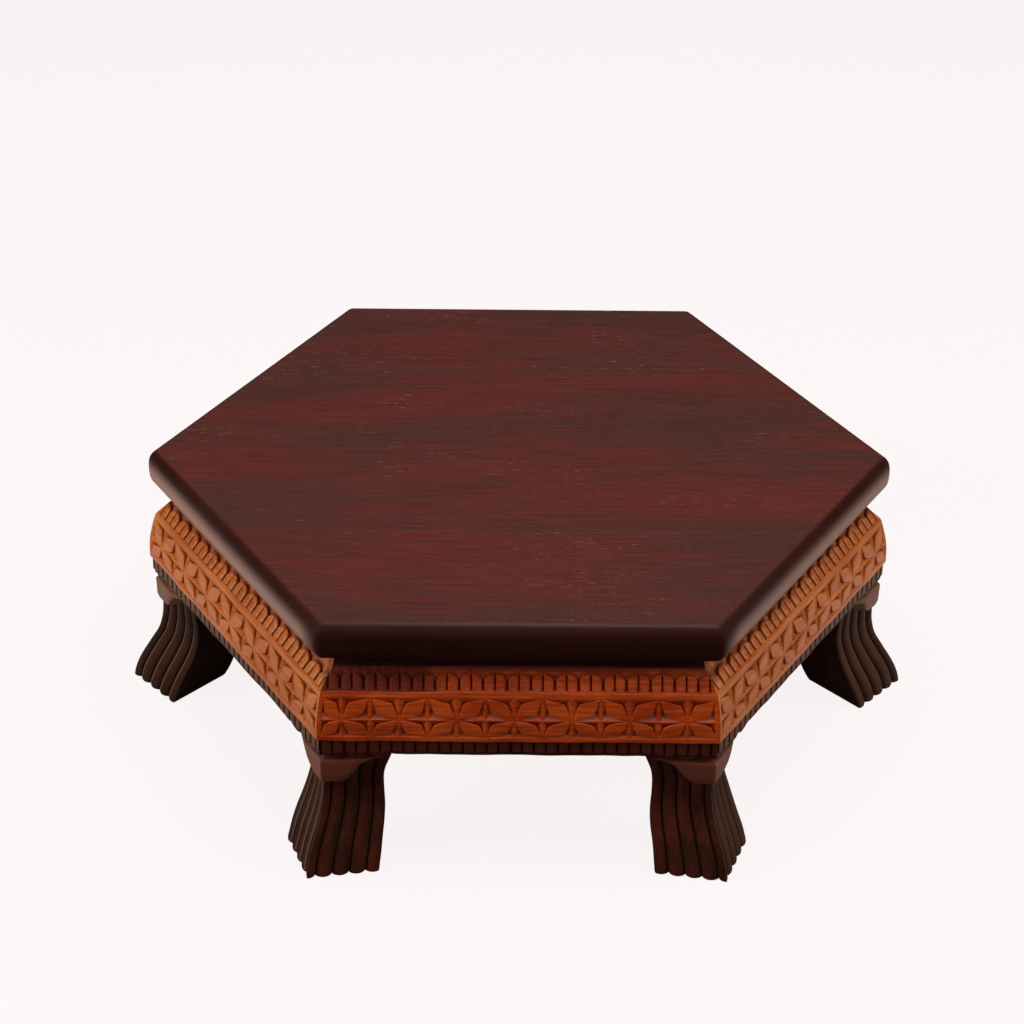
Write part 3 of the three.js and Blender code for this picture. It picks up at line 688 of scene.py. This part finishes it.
# %% [markdown]
# Above the stars the rail slopes back under the board, and the slope is cut into a row of lotus petals: two
# rounded halves with a slit between them, under a round arch. Separate petals could be laid on the slope, but
# the real ones are cut from it. So the rows of one grid bend to follow the arches, and the depth is a
# function of the place across the petal. The front rail's petals are taller, with slits that run to the top.

# %% The petal row of one rail
PETAL_PITCH = 17.8
SLOPE_IN, SLOPE_UP = 12.3, 14.0
SLOPE_LONG = math.hypot(SLOPE_IN, SLOPE_UP)
ACROSS = np.array([0.035, 0.075, 0.13, 0.24, 0.38, 0.52, 0.66, 0.78, 0.86, 0.91, 0.95, 1.0])
SHARES = np.concatenate([-ACROSS[::-1], [0], ACROSS])[:-1]
PETAL_FOOT, SLIT_DEPTH, SLIT_WIDTH, GAP_DEPTH, SWELL_DEPTH = 1.6, 1.9, 0.12, 3.2, 0.8
UNEVEN, SCATTER, GROUND_DEPTH, ARCH_EDGE = 0.35, 12.9898, 3.0, 0.55
PETAL_ROWS = (0, 0.04, 0.12, 0.25, 0.4, 0.55, 0.68, 0.78, 0.86, 0.92, 0.965, 1.0)
STRAIGHT, ARCH_WIDTH, ARCH_POWER, SLIT_FADE, GAP_FADE = 0.45, 0.97, 1.9, 0.12, (0.82, 0.97)
NECK_APOTHEM, BASE_APOTHEM, BASE_LEVEL = 237.0, 254.6, 157.4
FRONT_PETALS, EVEN_PETALS = (13.4, 0.99), (12.3, 0.76)


def in_a_row(count, shift):
    """x of each column of a row of petals, and how far it lies from its petal's middle, in half pitches."""
    middles = np.arange(-count, count + 1)[:, None] * PETAL_PITCH
    return (middles + SHARES * PETAL_PITCH / 2).ravel() + shift, np.abs(np.tile(SHARES, len(middles)))


def on_slope(x, along, depth):
    """The point at x, along the slope from its lower edge, sunk by depth along the slope's normal."""
    out, up = SLOPE_UP / SLOPE_LONG, SLOPE_IN / SLOPE_LONG
    apothem = BAND_APOTHEM - BAND_IN - along * up - depth * out
    return np.stack(np.broadcast_arrays(x, -apothem, BAND_HIGH + along * out - depth * up), -1)


def petal_row(tall, slit_end):
    """The arch is a half ellipse on straight sides. Gaps and slits are V cuts, and a slit ends at a share."""
    x, away = in_a_row(9, 0.0)
    uneven = np.repeat(np.sin(np.arange(-9, 10) * SCATTER) * UNEVEN, len(SHARES))
    bow = np.sqrt(np.clip(1 - (away / ARCH_WIDTH) ** ARCH_POWER, 0, 1))
    arch = PETAL_FOOT + tall * (STRAIGHT + (1 - STRAIGHT) * bow) + uneven
    rise = np.array(PETAL_ROWS)[:, None]
    along = PETAL_FOOT + (arch - PETAL_FOOT) * rise
    open_share = 1 - smoothstep(rise, slit_end - SLIT_FADE, slit_end)
    slit = SLIT_DEPTH * np.clip(1 - away / SLIT_WIDTH, 0, 1) * open_share
    gap = GAP_DEPTH * smoothstep(away, *GAP_FADE) + 0 * rise
    swell = SWELL_DEPTH * ((away - 0.5) / 0.5) ** 2
    depth = np.maximum.reduce([slit + swell, gap, ARCH_EDGE * smoothstep(rise, 0.88, 1.0) + swell])
    depth = depth + 0.35 * (1 - smoothstep(rise, 0.0, 0.1))
    ledge = np.stack([on_slope(x, 0.35, 0.0), on_slope(x, 1.25, 0.0), on_slope(x, 1.6, 0.25)])
    ground = GROUND_DEPTH + 0.25 * np.sin(x * 0.9)
    beyond = arch + (SLOPE_LONG - arch) * np.array([0.06, 0.35, 0.68, 1.0])[:, None]
    neck_foot = on_slope(x, SLOPE_LONG, GROUND_DEPTH)
    t = np.linspace(0, 1, 6)[1:, None]
    neck_top, back_top, back_foot, base = (
        np.stack([x, x * 0 - apothem, x * 0 + z], -1) for apothem, z in (
            (NECK_APOTHEM, BOARD_LOW), (RAIL_INNER, BOARD_LOW),
            (RAIL_INNER, BASE_LEVEL), (BASE_APOTHEM, BASE_LEVEL)))
    neck = neck_foot + (neck_top - neck_foot) * np.stack([t, t**0.75, t], -1)
    rows = [base, *ledge, *on_slope(x, along, depth), *on_slope(x, beyond, ground + 0 * beyond),
            *neck, back_top, back_foot, base]
    # Painted shade, with stain, in the slits, the gaps and on the ground just above each arch, and a little
    # on the neck.
    carve = np.concatenate([np.zeros((4, len(x))), np.clip(depth / 2.4, 0, 1),
                            np.tile([[0.8], [0.45], [0.2], [0.15]], len(x)), np.full((5, len(x)), 0.2),
                            np.zeros((3, len(x)))])
    skin = Skin()
    skin.add(np.stack(rows), carve)
    return skin.mesh("petal_row")


front_petals, even_petals = (close_up(petal_row(*shape), MITRES, 30) for shape in (FRONT_PETALS, EVEN_PETALS))

# %% [markdown]
# Under the frieze hangs a second, dark rail with downward tongues, each of two rounded halves under a round
# end. Its section is carried along the rail as a closed ring. The lower edge of the ring follows the ends of
# the tongues, and is worn straight in the middle of the side.

# %% The apron of one side
APRON_APOTHEM, APRON_LOW, APRON_HIGH, APRON_GAP = 259.8, 101.0, 117.5, 0.05
TONGUE_SHIFT, TONGUE_NOTCH, TONGUE_SLIT, TONGUE_GAP, TONGUE_SWELL = 2.8, 4.8, 1.3, 1.4, 0.35
LIP, LIP_BAND, MIDDLE_WORN, WORN_FADE, RUBBED = 0.9, 1.4, 2.6, (88, 112), 0.65
TONGUE_ROWS = (0, 0.2, 0.4, 0.6, 0.75, 0.86, 0.93, 0.97, 1.0)
LIP_ROWS = ((0.15, 1.3, 0.8), (0.5, 1.1, -0.5), (1.0, 1.1, -0.6))
UNDER_ROWS, UNDER_IN = ((0.3, 0.6), (0.9, 0.87), (3.0, 0.9)), 1.1


def apron_tongues():
    """A tongue is two swelling halves beside a slit. The lower edge is a row of arcs, (1 - share^2)^0.5."""
    x, away = in_a_row(10, TONGUE_SHIFT)
    wear_and_highlight = 1 - smoothstep(np.abs(x), *WORN_FADE)
    notch = TONGUE_NOTCH * (1 - np.sqrt(np.clip(1 - away**2, 0, 1)))
    low = APRON_LOW + notch * (1 - wear_and_highlight) + MIDDLE_WORN * wear_and_highlight
    bottom = APRON_HIGH - LIP - low
    arch = bottom - LIP_BAND
    rise = np.array(TONGUE_ROWS)[:, None]
    slit = TONGUE_SLIT * np.clip(1 - away / 0.13, 0, 1) * (1 - smoothstep(rise, 0.82, 0.93))
    swell = TONGUE_SWELL * ((away - 0.5) / 0.5) ** 2
    depth = np.maximum.reduce([slit + swell, TONGUE_GAP * smoothstep(away, 0.82, 0.96) + 0 * rise,
                               swell + 1.2 * smoothstep(rise, 0.86, 1.0)])
    rows = [(APRON_APOTHEM - d, APRON_HIGH - APRON_GAP - arch * r) for d, r in zip(depth, rise)]
    # Gaps between tongues are darker, partly polish and partly painted shade; the tongues are paler, rubbed.
    carve = [*np.clip(depth / 1.2 - RUBBED, -RUBBED, 1)]
    for down, sunk, shade in LIP_ROWS:
        rows.append((APRON_APOTHEM - sunk + 0 * x, APRON_HIGH - arch - (bottom - arch) * down))
        carve.append(shade + 0 * x)
    for back, drop in UNDER_ROWS:
        rows.append((APRON_APOTHEM - UNDER_IN - back + 0 * x, low + LIP - drop))
        carve.append(0 * x)
    for z in (low, x * 0 + APRON_HIGH - APRON_GAP):
        rows.append((x * 0 + RAIL_INNER, z))
        carve.append(0 * x)
    rows.append(rows[0])
    carve.append(carve[0])
    skin = Skin()
    skin.add(np.stack([np.stack([x, -a, z], -1) for a, z in rows]), np.stack(carve))
    return skin.mesh("apron_tongues")


apron_mesh = close_up(apron_tongues(), MITRES, 30)

# %% [markdown]
# One mesh serves several rails, because a piece is a copy that is turned about the middle of the table. Each
# copy gets waves of its own, as hand work has, and the front rail is the reddest. On the front, stain has run
# down over the petals on the left, and the neck above the petals, in the board's shade, is painted dark brown
# and then black. On the other rails, painted shade darkens the cuts near the board and the mitres.

# %% Set the rails in place
SIDES = ("front", "front_right", "back_right", "back", "back_left", "front_left")
# Of the waves of hand work: their reach, the limits of their lengths, and their seed.
CARVED = (0.26, (16, 60), 5)
SPILL_FADE, PAINTED_NECK_SHADE, PAINTED_NECK_BLACK = (-75, -45), (167, 170), (171.5, 175)
PAINTED_CUT_SHADE, PAINTED_MITRE_SHADE = (160, 168), (-13, -4)


def petal_stain_and_shade(mesh, angle):
    """The most of spill and two painted neck shades in front; painted shade in cuts and at mitres on other
    rails.
    """
    x, y, z = places(mesh).T / MM
    if angle == 0:
        # The stain that ran on the left, and the painted shade of the neck under the board, brown then black.
        spill_and_shade, neck = 1 - smoothstep(x, *SPILL_FADE), 2.2 * smoothstep(z, *PAINTED_NECK_BLACK)
        return np.maximum.reduce([spill_and_shade, 0.75 * smoothstep(z, *PAINTED_NECK_SHADE), neck])
    # Painted shade along the mitres, and in the cuts near the board.
    along, out = x * math.cos(angle) + y * math.sin(angle), x * math.sin(angle) - y * math.cos(angle)
    mitre = 0.8 * smoothstep(np.abs(along) - out * TAN30, *PAINTED_MITRE_SHADE)
    return smoothstep(z, *PAINTED_CUT_SHADE) * np.maximum(np.clip(stored(mesh, "carve") * 3, 0, 0.9), mitre)


for i, side in enumerate(SIDES):
    for name, mesh, finish, slot in (
            (f"frieze_{side}_stars", even_band if i else front_band, FRIEZE_WOOD, "frieze_wood"),
            (f"frieze_{side}_petals", even_petals if i else front_petals, FRIEZE_WOOD, "frieze_wood"),
            (f"apron_{side}_tongues", apron_mesh, LEG_WOOD, "leg_wood")):
        rail = piece(name, mesh, finish, [name.rpartition("_")[0]], i * SIXTH, i, CARVED)
        put(rail.data, "ruddy", 0.0 if i else 1.0)
        if name.endswith("petals"):
            put(rail.data, "stain_and_shade", petal_stain_and_shade(rail.data, i * SIXTH))
print("rails set in place:", 3 * len(SIDES), "pieces")

# %% [markdown]
# Each leg is one block of wood. Its two outer faces are cut into round reeds with narrow grooves between
# them, swell out to the foot and end in rounded toes. A plain knee covers the top of the reeds, and a post
# runs on up inside the corner of the rails. The reeds could be separate rods, but they are cut from the
# block, so they are ripples on its outline. The outline is carried up the leg while its corner, cheeks and
# heel follow their own curves, given at shares of the height.

# %% The reeded shaft
LEG_HEIGHT, CORNER_REACH = 101.0, 300.0
REEDS, REED_RISE, REED_ROUND, REED_SINK = 4.3, 2.5, 0.55, 0.72
REED_STEPS = (0, 0.16, 0.29, 0.38, 0.44, 0.475, 0.5, 0.525, 0.56, 0.62, 0.71, 0.84)
FOOT_LEVELS = (0, 0.25, 0.7, 1.3, 2.1, 3.1, 4.3, 5.7, 7.2)
UPPER_REEDS, SHOULDER_ON, SHOULDER_OFF = (56, 76), (0.4, 0.58), (0.7, 0.9)
TOE_IN, GROOVE_IN, TOE_TALL, GROOVE_TALL, SIDE_TUCK, SIDE_TALL = 1.1, 2.6, 2.2, 4.6, 1.7, 3
CORNER_SHARE, UPPER_FILL, GROOVE_DARK = 0.42, 0.8, 1.4
CREST, EDGE_LINE, FLAT_WOOD = 0.25, 0.7, 0.3
# The share of the height, then the corner, cheek, half width and heel there.
LEG_CURVES = np.array([
    [0.00, 20.3, -15.6, 42.2, -54.0],
    [0.06, 19.2, -17.8, 41.6, -57.4],
    [0.14, 16.6, -20.9, 40.9, -61.2],
    [0.25, 11.2, -25.9, 39.4, -65.3],
    [0.36, 4.4, -31.5, 37.7, -69.0],
    [0.48, -3.0, -36.0, 35.6, -72.6],
    [0.60, -6.2, -38.3, 33.4, -75.9],
    [0.75, -7.2, -37.7, 33.9, -79.2],
    [1.00, -9.0, -34.5, 43.5, -83.8],
])


def leg_lines(z):
    """Corner, cheek, half width and heel of the outline at height z, outwards from the apron's corner."""
    return (soft_curve(z / LEG_HEIGHT, LEG_CURVES[:, 0], LEG_CURVES[:, i]) for i in range(1, 5))


def rounded_foot(z, height):
    """1 at the floor and 0 from the height on, along a quarter of an ellipse: 1 - (1 - (1 - z/h)^2)^0.5."""
    return 1 - np.sqrt(np.clip(1 - np.clip(1 - z / height, 0, 1) ** 2, 0, 1))


def leg_shaft(skin):
    """A reed is the round |cos|^0.55 of its share of the face, so the grooves between reeds are V cuts."""
    z = np.concatenate([FOOT_LEVELS, np.linspace(9, LEG_HEIGHT, 47)])[:, None]
    corner, cheek, half, heel = leg_lines(z)
    step = (np.arange(5)[:, None] + REED_STEPS).ravel()
    step = step[step < REEDS - 0.02][None, :]
    lobe = np.abs(np.cos(math.pi * step)) ** REED_ROUND
    share = step / REEDS
    valley = 1 - lobe
    toe_in = (TOE_IN + GROOVE_IN * valley) * rounded_foot(z, TOE_TALL + GROOVE_TALL * valley)
    length = np.hypot(corner - cheek, half)
    turn = smoothstep(step, 0.0, CORNER_SHARE)
    out_x, out_y = 1 + (half / length - 1) * turn, (corner - cheek) / length * turn
    rise = REED_RISE * (lobe - REED_SINK) - toe_in - UPPER_FILL * smoothstep(z, *UPPER_REEDS) * valley
    face_x = corner + (cheek - corner) * share + rise * out_x
    face_y = half * share + rise * out_y
    inner = np.linspace(0, 1, 9)[None, :]
    tuck = SIDE_TUCK * rounded_foot(z, SIDE_TALL)
    side_x = cheek - tuck * 0.4 + (heel - cheek + tuck) * inner
    side_y = (half - tuck) * (1 - inner)
    x = np.concatenate([face_x, side_x, side_x[:, -2::-1], face_x[:, :0:-1]], 1)
    y = np.concatenate([face_y, side_y, -side_y[:, -2::-1], -face_y[:, :0:-1]], 1)
    # A pale line painted as a highlight along one shoulder of each reed, and darker grooves, partly painted
    # shade.
    one_side = np.sin(2 * math.pi * step) < 0
    shoulder = smoothstep(lobe, *SHOULDER_ON) * (1 - smoothstep(lobe, *SHOULDER_OFF)) * one_side
    groove = GROOVE_DARK * valley ** 2 - CREST * lobe - EDGE_LINE * shoulder + 0 * z
    plain = FLAT_WOOD + 0 * side_x
    carve = np.concatenate([groove, plain, plain[:, -2::-1], groove[:, :0:-1]], 1)
    skin.add(np.stack([x + CORNER_REACH, y, z + 0 * x], -1), carve, wrap=True)


print("reeds on a face:", REEDS, "and levels in the rounded foot:", len(FOOT_LEVELS))

# %% [markdown]
# The knee is the plain, rubbed slab over the tops of the reeds. It could be a bent box, but its lower edge is
# a long S curve that runs out to nothing along the rails. So the rows of one grid hang from its top edge by
# shares of that curve, and its ends lean in until they merge with the rails.

# %% The knee
KNEE_TOP, KNEE_SETBACK, KNEE_FOOT_IN, KNEE_DROP, KNEE_DEPTH = 97.6, 1.3, 0.8, 20.2, 16.0
KNEE_EDGE, KNEE_RIM, KNEE_MERGE, MERGE_FADE, KNEE_RUBBED = 1.2, 0.5, 7, (20, 38), -1.3
KNEE_ROWS = (0.03, 0.1, 0.3, 0.5, 0.66, 0.8, 0.9, 0.96, 1.0)
KNEE_ACROSS = (0.0, 6.0, 12.0, 16.0, 19.0, 22.0, 25.0, 30.0, 38.0)
KNEE_FALL = (1.0, 0.99, 0.95, 0.86, 0.7, 0.43, 0.25, 0.12, 0.06)


def leg_knee(skin):
    """A bent slab. Its lower edge is a smooth S curve, flat at the corner, that thins out along each rail."""
    across = np.concatenate([[0], np.linspace(1.2, KNEE_ACROSS[-1], 34)])
    drop = KNEE_DROP * soft_curve(across, KNEE_ACROSS, KNEE_FALL)
    t = np.concatenate([-across[:0:-1], across])
    fall = np.concatenate([drop[:0:-1], drop])
    rows = [(KNEE_SETBACK + KNEE_EDGE, 0 * t)]
    for share in KNEE_ROWS:
        ease = KNEE_EDGE * smoothstep(share, 0.8, 1.0) + KNEE_RIM * (1 - smoothstep(share, 0.0, 0.1))
        rows.append((KNEE_SETBACK + KNEE_FOOT_IN * share * fall / KNEE_DROP + ease, fall * share))
    rows.append((KNEE_DEPTH + 0 * t, fall))
    rows.append((KNEE_DEPTH + 0 * t, 0 * t))
    merge = KNEE_MERGE * smoothstep(np.abs(t), *MERGE_FADE)
    grid = np.stack([np.stack([CORNER_REACH - inset - merge - np.abs(t) * TAN30, t, KNEE_TOP - down], -1)
                     for inset, down in rows], 1)
    skin.add(grid, KNEE_RUBBED, wrap=True)


print("the knee hangs", KNEE_DROP, "mm deep at the corner")

# %% [markdown]
# The post is a plain prism with two holes for the screws that pull the rails tight. The holes could be part
# of a grid, but they cross its faces at a slant. A Boolean modifier with two turned borers cuts them cleanly.

# %% The post and its screw holes
POST_FACE, HEEL_TOP, SCREW_GRIP, SCREW_ALONG, SCREW_LEVELS = 26.0, 83.8, 26.0, 13, {1: 14, -1: 34}
MITRE_GAP, POST_LOW = 0.3, 99.0
POST_TIP = (RAIL_INNER - MITRE_GAP) / COS30 - CORNER_REACH
BORER = ((4.5, -HEEL_TOP), (4.5, 0), (2.5, 3.2), (2.5, SCREW_GRIP + 5))


def turned(profile, sides, place):
    """A closed shape turned about its own Z from points of radius and height, then moved by a matrix."""
    profile = np.asarray(profile, float)
    angle = np.linspace(0, 2 * math.pi, sides, endpoint=False)
    grid = np.stack([profile[:, :1] * np.cos(angle), profile[:, :1] * np.sin(angle),
                     np.repeat(profile[:, 1:], sides, 1)], -1)
    skin = Skin()
    skin.add(grid @ place[:3, :3].T + place[:3, 3], wrap=True)
    return close_up(skin.mesh("turned"))


def screw_place(hand):
    """A screw stands square to the rail on its side, 13 mm along from the post's tip."""
    out = np.array([COS30, hand * SIN30, 0])
    side = np.cross([0, 0, 1], out)
    place = np.eye(4)
    place[:3, :3] = np.stack([side, np.cross(out, side), out], 1)
    seat = np.array([CORNER_REACH + POST_TIP, 0, BAND_LOW + SCREW_LEVELS[hand]])
    place[:3, 3] = seat + side * hand * SCREW_ALONG - out * SCREW_GRIP
    return place


def leg_post():
    """A four-sided prism, bored from inside for the two screws."""
    side_x, side_y = POST_TIP - POST_FACE * SIN30, POST_FACE * COS30
    plan = CORNER_REACH + np.array([POST_TIP, side_x, -HEEL_TOP, side_x])
    wide = np.array([0, side_y, 0, -side_y])
    rings = np.stack([np.stack([plan, wide, plan * 0 + z], -1) for z in (POST_LOW, BOARD_LOW)])
    skin = Skin()
    skin.add(rings, 0.1, wrap=True)
    post = bpy.data.objects.new("post", close_up(skin.mesh("post")))
    scene.collection.objects.link(post)
    borers = []
    for hand in (1, -1):
        borer = bpy.data.objects.new("borer", turned(BORER, 32, screw_place(hand)))
        scene.collection.objects.link(borer)
        cut = post.modifiers.new("bore", "BOOLEAN")
        cut.object, cut.operation, cut.solver = borer, "DIFFERENCE", "EXACT"
        borers.append(borer)
    bored = bpy.data.meshes.new_from_object(post.evaluated_get(bpy.context.evaluated_depsgraph_get()))
    for o in (post, *borers):
        bpy.data.objects.remove(o)
    return bored


def leg_mesh():
    """The shaft, the knee and the bored post as the shells of one mesh."""
    skin = Skin()
    leg_shaft(skin)
    leg_knee(skin)
    mesh = skin.mesh("leg")
    bm = bmesh.new()
    bm.from_mesh(mesh)
    bm.from_mesh(leg_post())
    bm.to_mesh(mesh)
    bm.free()
    return close_up(mesh, (), 38)


# %% [markdown]
# The same leg stands under all six corners, turned to its place. What differs is the colour and the painted
# light, so two stored numbers are worked out again for each leg: how ruddy the wood is, on the inner faces
# and in front, and the pale lines along the reeds, painted highlights which show on the faces that look to
# the left.

# %% Set the legs in place
CORNERS = ("front_right", "right", "back_right", "back_left", "left", "front_left")
HEWN = (0.4, (24, 70), 8)
FACE_EDGE, FRONT_RUDDY, PAINTED_LINE_GAIN = (-1, 2), 0.8, 1.6


def leg_wear(mesh, bearing, in_front):
    """Ruddy by how far a point is past the cheek or front mitre. A painted highlight is depth below the
    crest's.
    """
    x, y, z = places(mesh).T / MM
    out = x * math.cos(bearing) + y * math.sin(bearing)
    cheek = soft_curve(np.clip(z / LEG_HEIGHT, 0, 1), LEG_CURVES[:, 0], LEG_CURVES[:, 2])
    inner = smoothstep(CORNER_REACH + cheek - out, *FACE_EDGE)
    front = smoothstep(-y * TAN30 - np.abs(x), *FACE_EDGE) * in_front
    carve = stored(mesh, "carve")
    hand = np.sign(y * math.cos(bearing) - x * math.sin(bearing))
    # How far a face looks to the left lamp: its reeds' bodies get painted shade, its edge lines painted
    # highlight.
    wear_and_highlight = np.clip(-np.cos(bearing + hand * SIXTH / 2), 0, 1)
    painted_highlight_line = np.maximum(carve, -CREST) + wear_and_highlight * (FLAT_WOOD + PAINTED_LINE_GAIN * np.minimum(carve + CREST, 0))
    return np.maximum(front * FRONT_RUDDY, inner), np.where(carve < KNEE_RUBBED + 0.1, carve, painted_highlight_line)


leg = leg_mesh()
for i, corner in enumerate(CORNERS):
    bearing = (i - 1) * SIXTH
    made = piece(f"leg_{corner}_carved", leg, LEG_WOOD, [f"leg_{corner}"], bearing, i, HEWN)
    ruddy, carve = leg_wear(made.data, bearing, corner.startswith("front"))
    put(made.data, "ruddy", ruddy)
    put(made.data, "carve", carve)

# %% [markdown]
# The photograph shows the table alone on near-white. A backdrop could be lit until it clips, but that light
# would fall on the wood too. Instead the floor and the world are white only to rays that come from the
# camera, and partly to rays from gloss. The wood is lit at a plain level by four soft lamps: overhead, on the
# left, a weaker one on the right, and a faint one in front.

# %% Floor and light
BACKDROP = (0.976, 0.926, 0.926, 1)
FLOOR_REACH, FLOOR_DROP, FLOOR_WHITE = 12.0, 0.0002, 0.93
NEAR_GREY, FAR_GREY, SEEN_GREY = (0.07, 0.065, 0.065), (0.45, 0.43, 0.43), (0.9, 0.86, 0.86)
GLOSS_BEHIND, GLOSS_FROM, GLOSS_TO = (-0.4, 0.0), (0.28, 0.4), (0.62, 0.85)
ROOM_BEHIND, HORIZON, ROOM_GLOSS, ROOM_LIGHT = (-0.45, 0.0), (0.0, 0.14), 0.1, 0.09
AIM = (0, 0, 0.1)
LAMPS = {
    "overhead": ((0.25, -0.1, 1.85), 1.5, 25),
    "left": ((-1.72, -0.55, 0.95), 1.1, 25),
    "right": ((1.8, -0.35, 0.9), 1.1, 14.5),
    "front": ((0.3, -2.4, 1.3), 0.9, 7),
}


def background_rays(f, lit):
    """1 for camera rays, and the same plus the lit share of this place for rays from gloss and glass."""
    camera, glossy, through = (f.node("LightPath", None, None, kind)
                               for kind in ("Is Camera Ray", "Is Glossy Ray", "Is Transmission Ray"))
    return camera, camera + (glossy + through) * lit


def pale_floor():
    """Gloss sees white behind the table only, in a ring by the distance from its middle."""
    f = Finish("pale_floor")
    place = f.node("TexCoord", None, None, "Object")
    x, y = f.part(place, 0), f.part(place, 1)
    away = f.math("SQRT", x * x + y * y, 0.0)
    ring = f.between(y, *GLOSS_BEHIND) * f.between(away, *GLOSS_FROM)
    ring = ring * (0.75 - f.between(away, *GLOSS_TO) * 0.7)
    camera, seen = background_rays(f, ring)
    grey = f.mix(f.between(y, -0.5, 0.1), NEAR_GREY, FAR_GREY)
    soft = f.node("BsdfDiffuse", None, {"Color": f.mix(camera, grey, SEEN_GREY)})
    white = f.node("Emission", None, {"Color": BACKDROP, "Strength": 1.01})
    both = f.node("MixShader", None, {0: seen * FLOOR_WHITE, 1: soft, 2: white})
    f.node("OutputMaterial", None, {"Surface": both})
    return f.material


floor_mesh = bpy.data.meshes.new("floor")
corners = np.array([[-1, -1, 0], [1, -1, 0], [1, 1, 0], [-1, 1, 0]]) * FLOOR_REACH
corners -= [0, 0, FLOOR_DROP]
floor_mesh.from_pydata(corners.tolist(), [], [[0, 1, 2, 3]])
dress(floor_mesh, pale_floor())
floor = bpy.data.objects.new("floor", floor_mesh)
scene.collection.objects.link(floor)


def soft_lamp(name, place, size, power):
    """A square lamp whose own -Z looks at the table."""
    data = bpy.data.lights.new(name, "AREA")
    data.shape, data.size, data.energy = "SQUARE", size, power
    lamp = bpy.data.objects.new(name, data)
    lamp.matrix_world = Matrix.Translation(place) @ (
        (Vector(AIM) - Vector(place)).to_track_quat("-Z", "Y").to_matrix().to_4x4())
    scene.collection.objects.link(lamp)


for name, lamp in LAMPS.items():
    soft_lamp(name, *lamp)
print("lamps", {name: f"{power} W" for name, (_, _, power) in LAMPS.items()})


class Room(Finish):
    """The world is mixed like a material, in its own tree."""

    def __init__(self, name):
        scene.world = bpy.data.worlds.new(name)
        scene.world.use_nodes = True
        self.tree = scene.world.node_tree
        self.tree.nodes.clear()


room = Room("studio")
way = room.node("TexCoord", None, None, "Object")
behind = room.between(room.part(way, 1), *ROOM_BEHIND)
low_down = 1 - room.between(room.part(way, 2), *HORIZON)
_, seen = background_rays(room, behind * low_down * ROOM_GLOSS)
dim = room.node("Background", None, {"Color": (1, 0.98, 0.97, 1), "Strength": ROOM_LIGHT})
white = room.node("Background", None, {"Color": BACKDROP, "Strength": 1.0})
room.node("OutputWorld", None, {"Surface": room.node("MixShader", None, {0: seen, 1: dim, 2: white})})
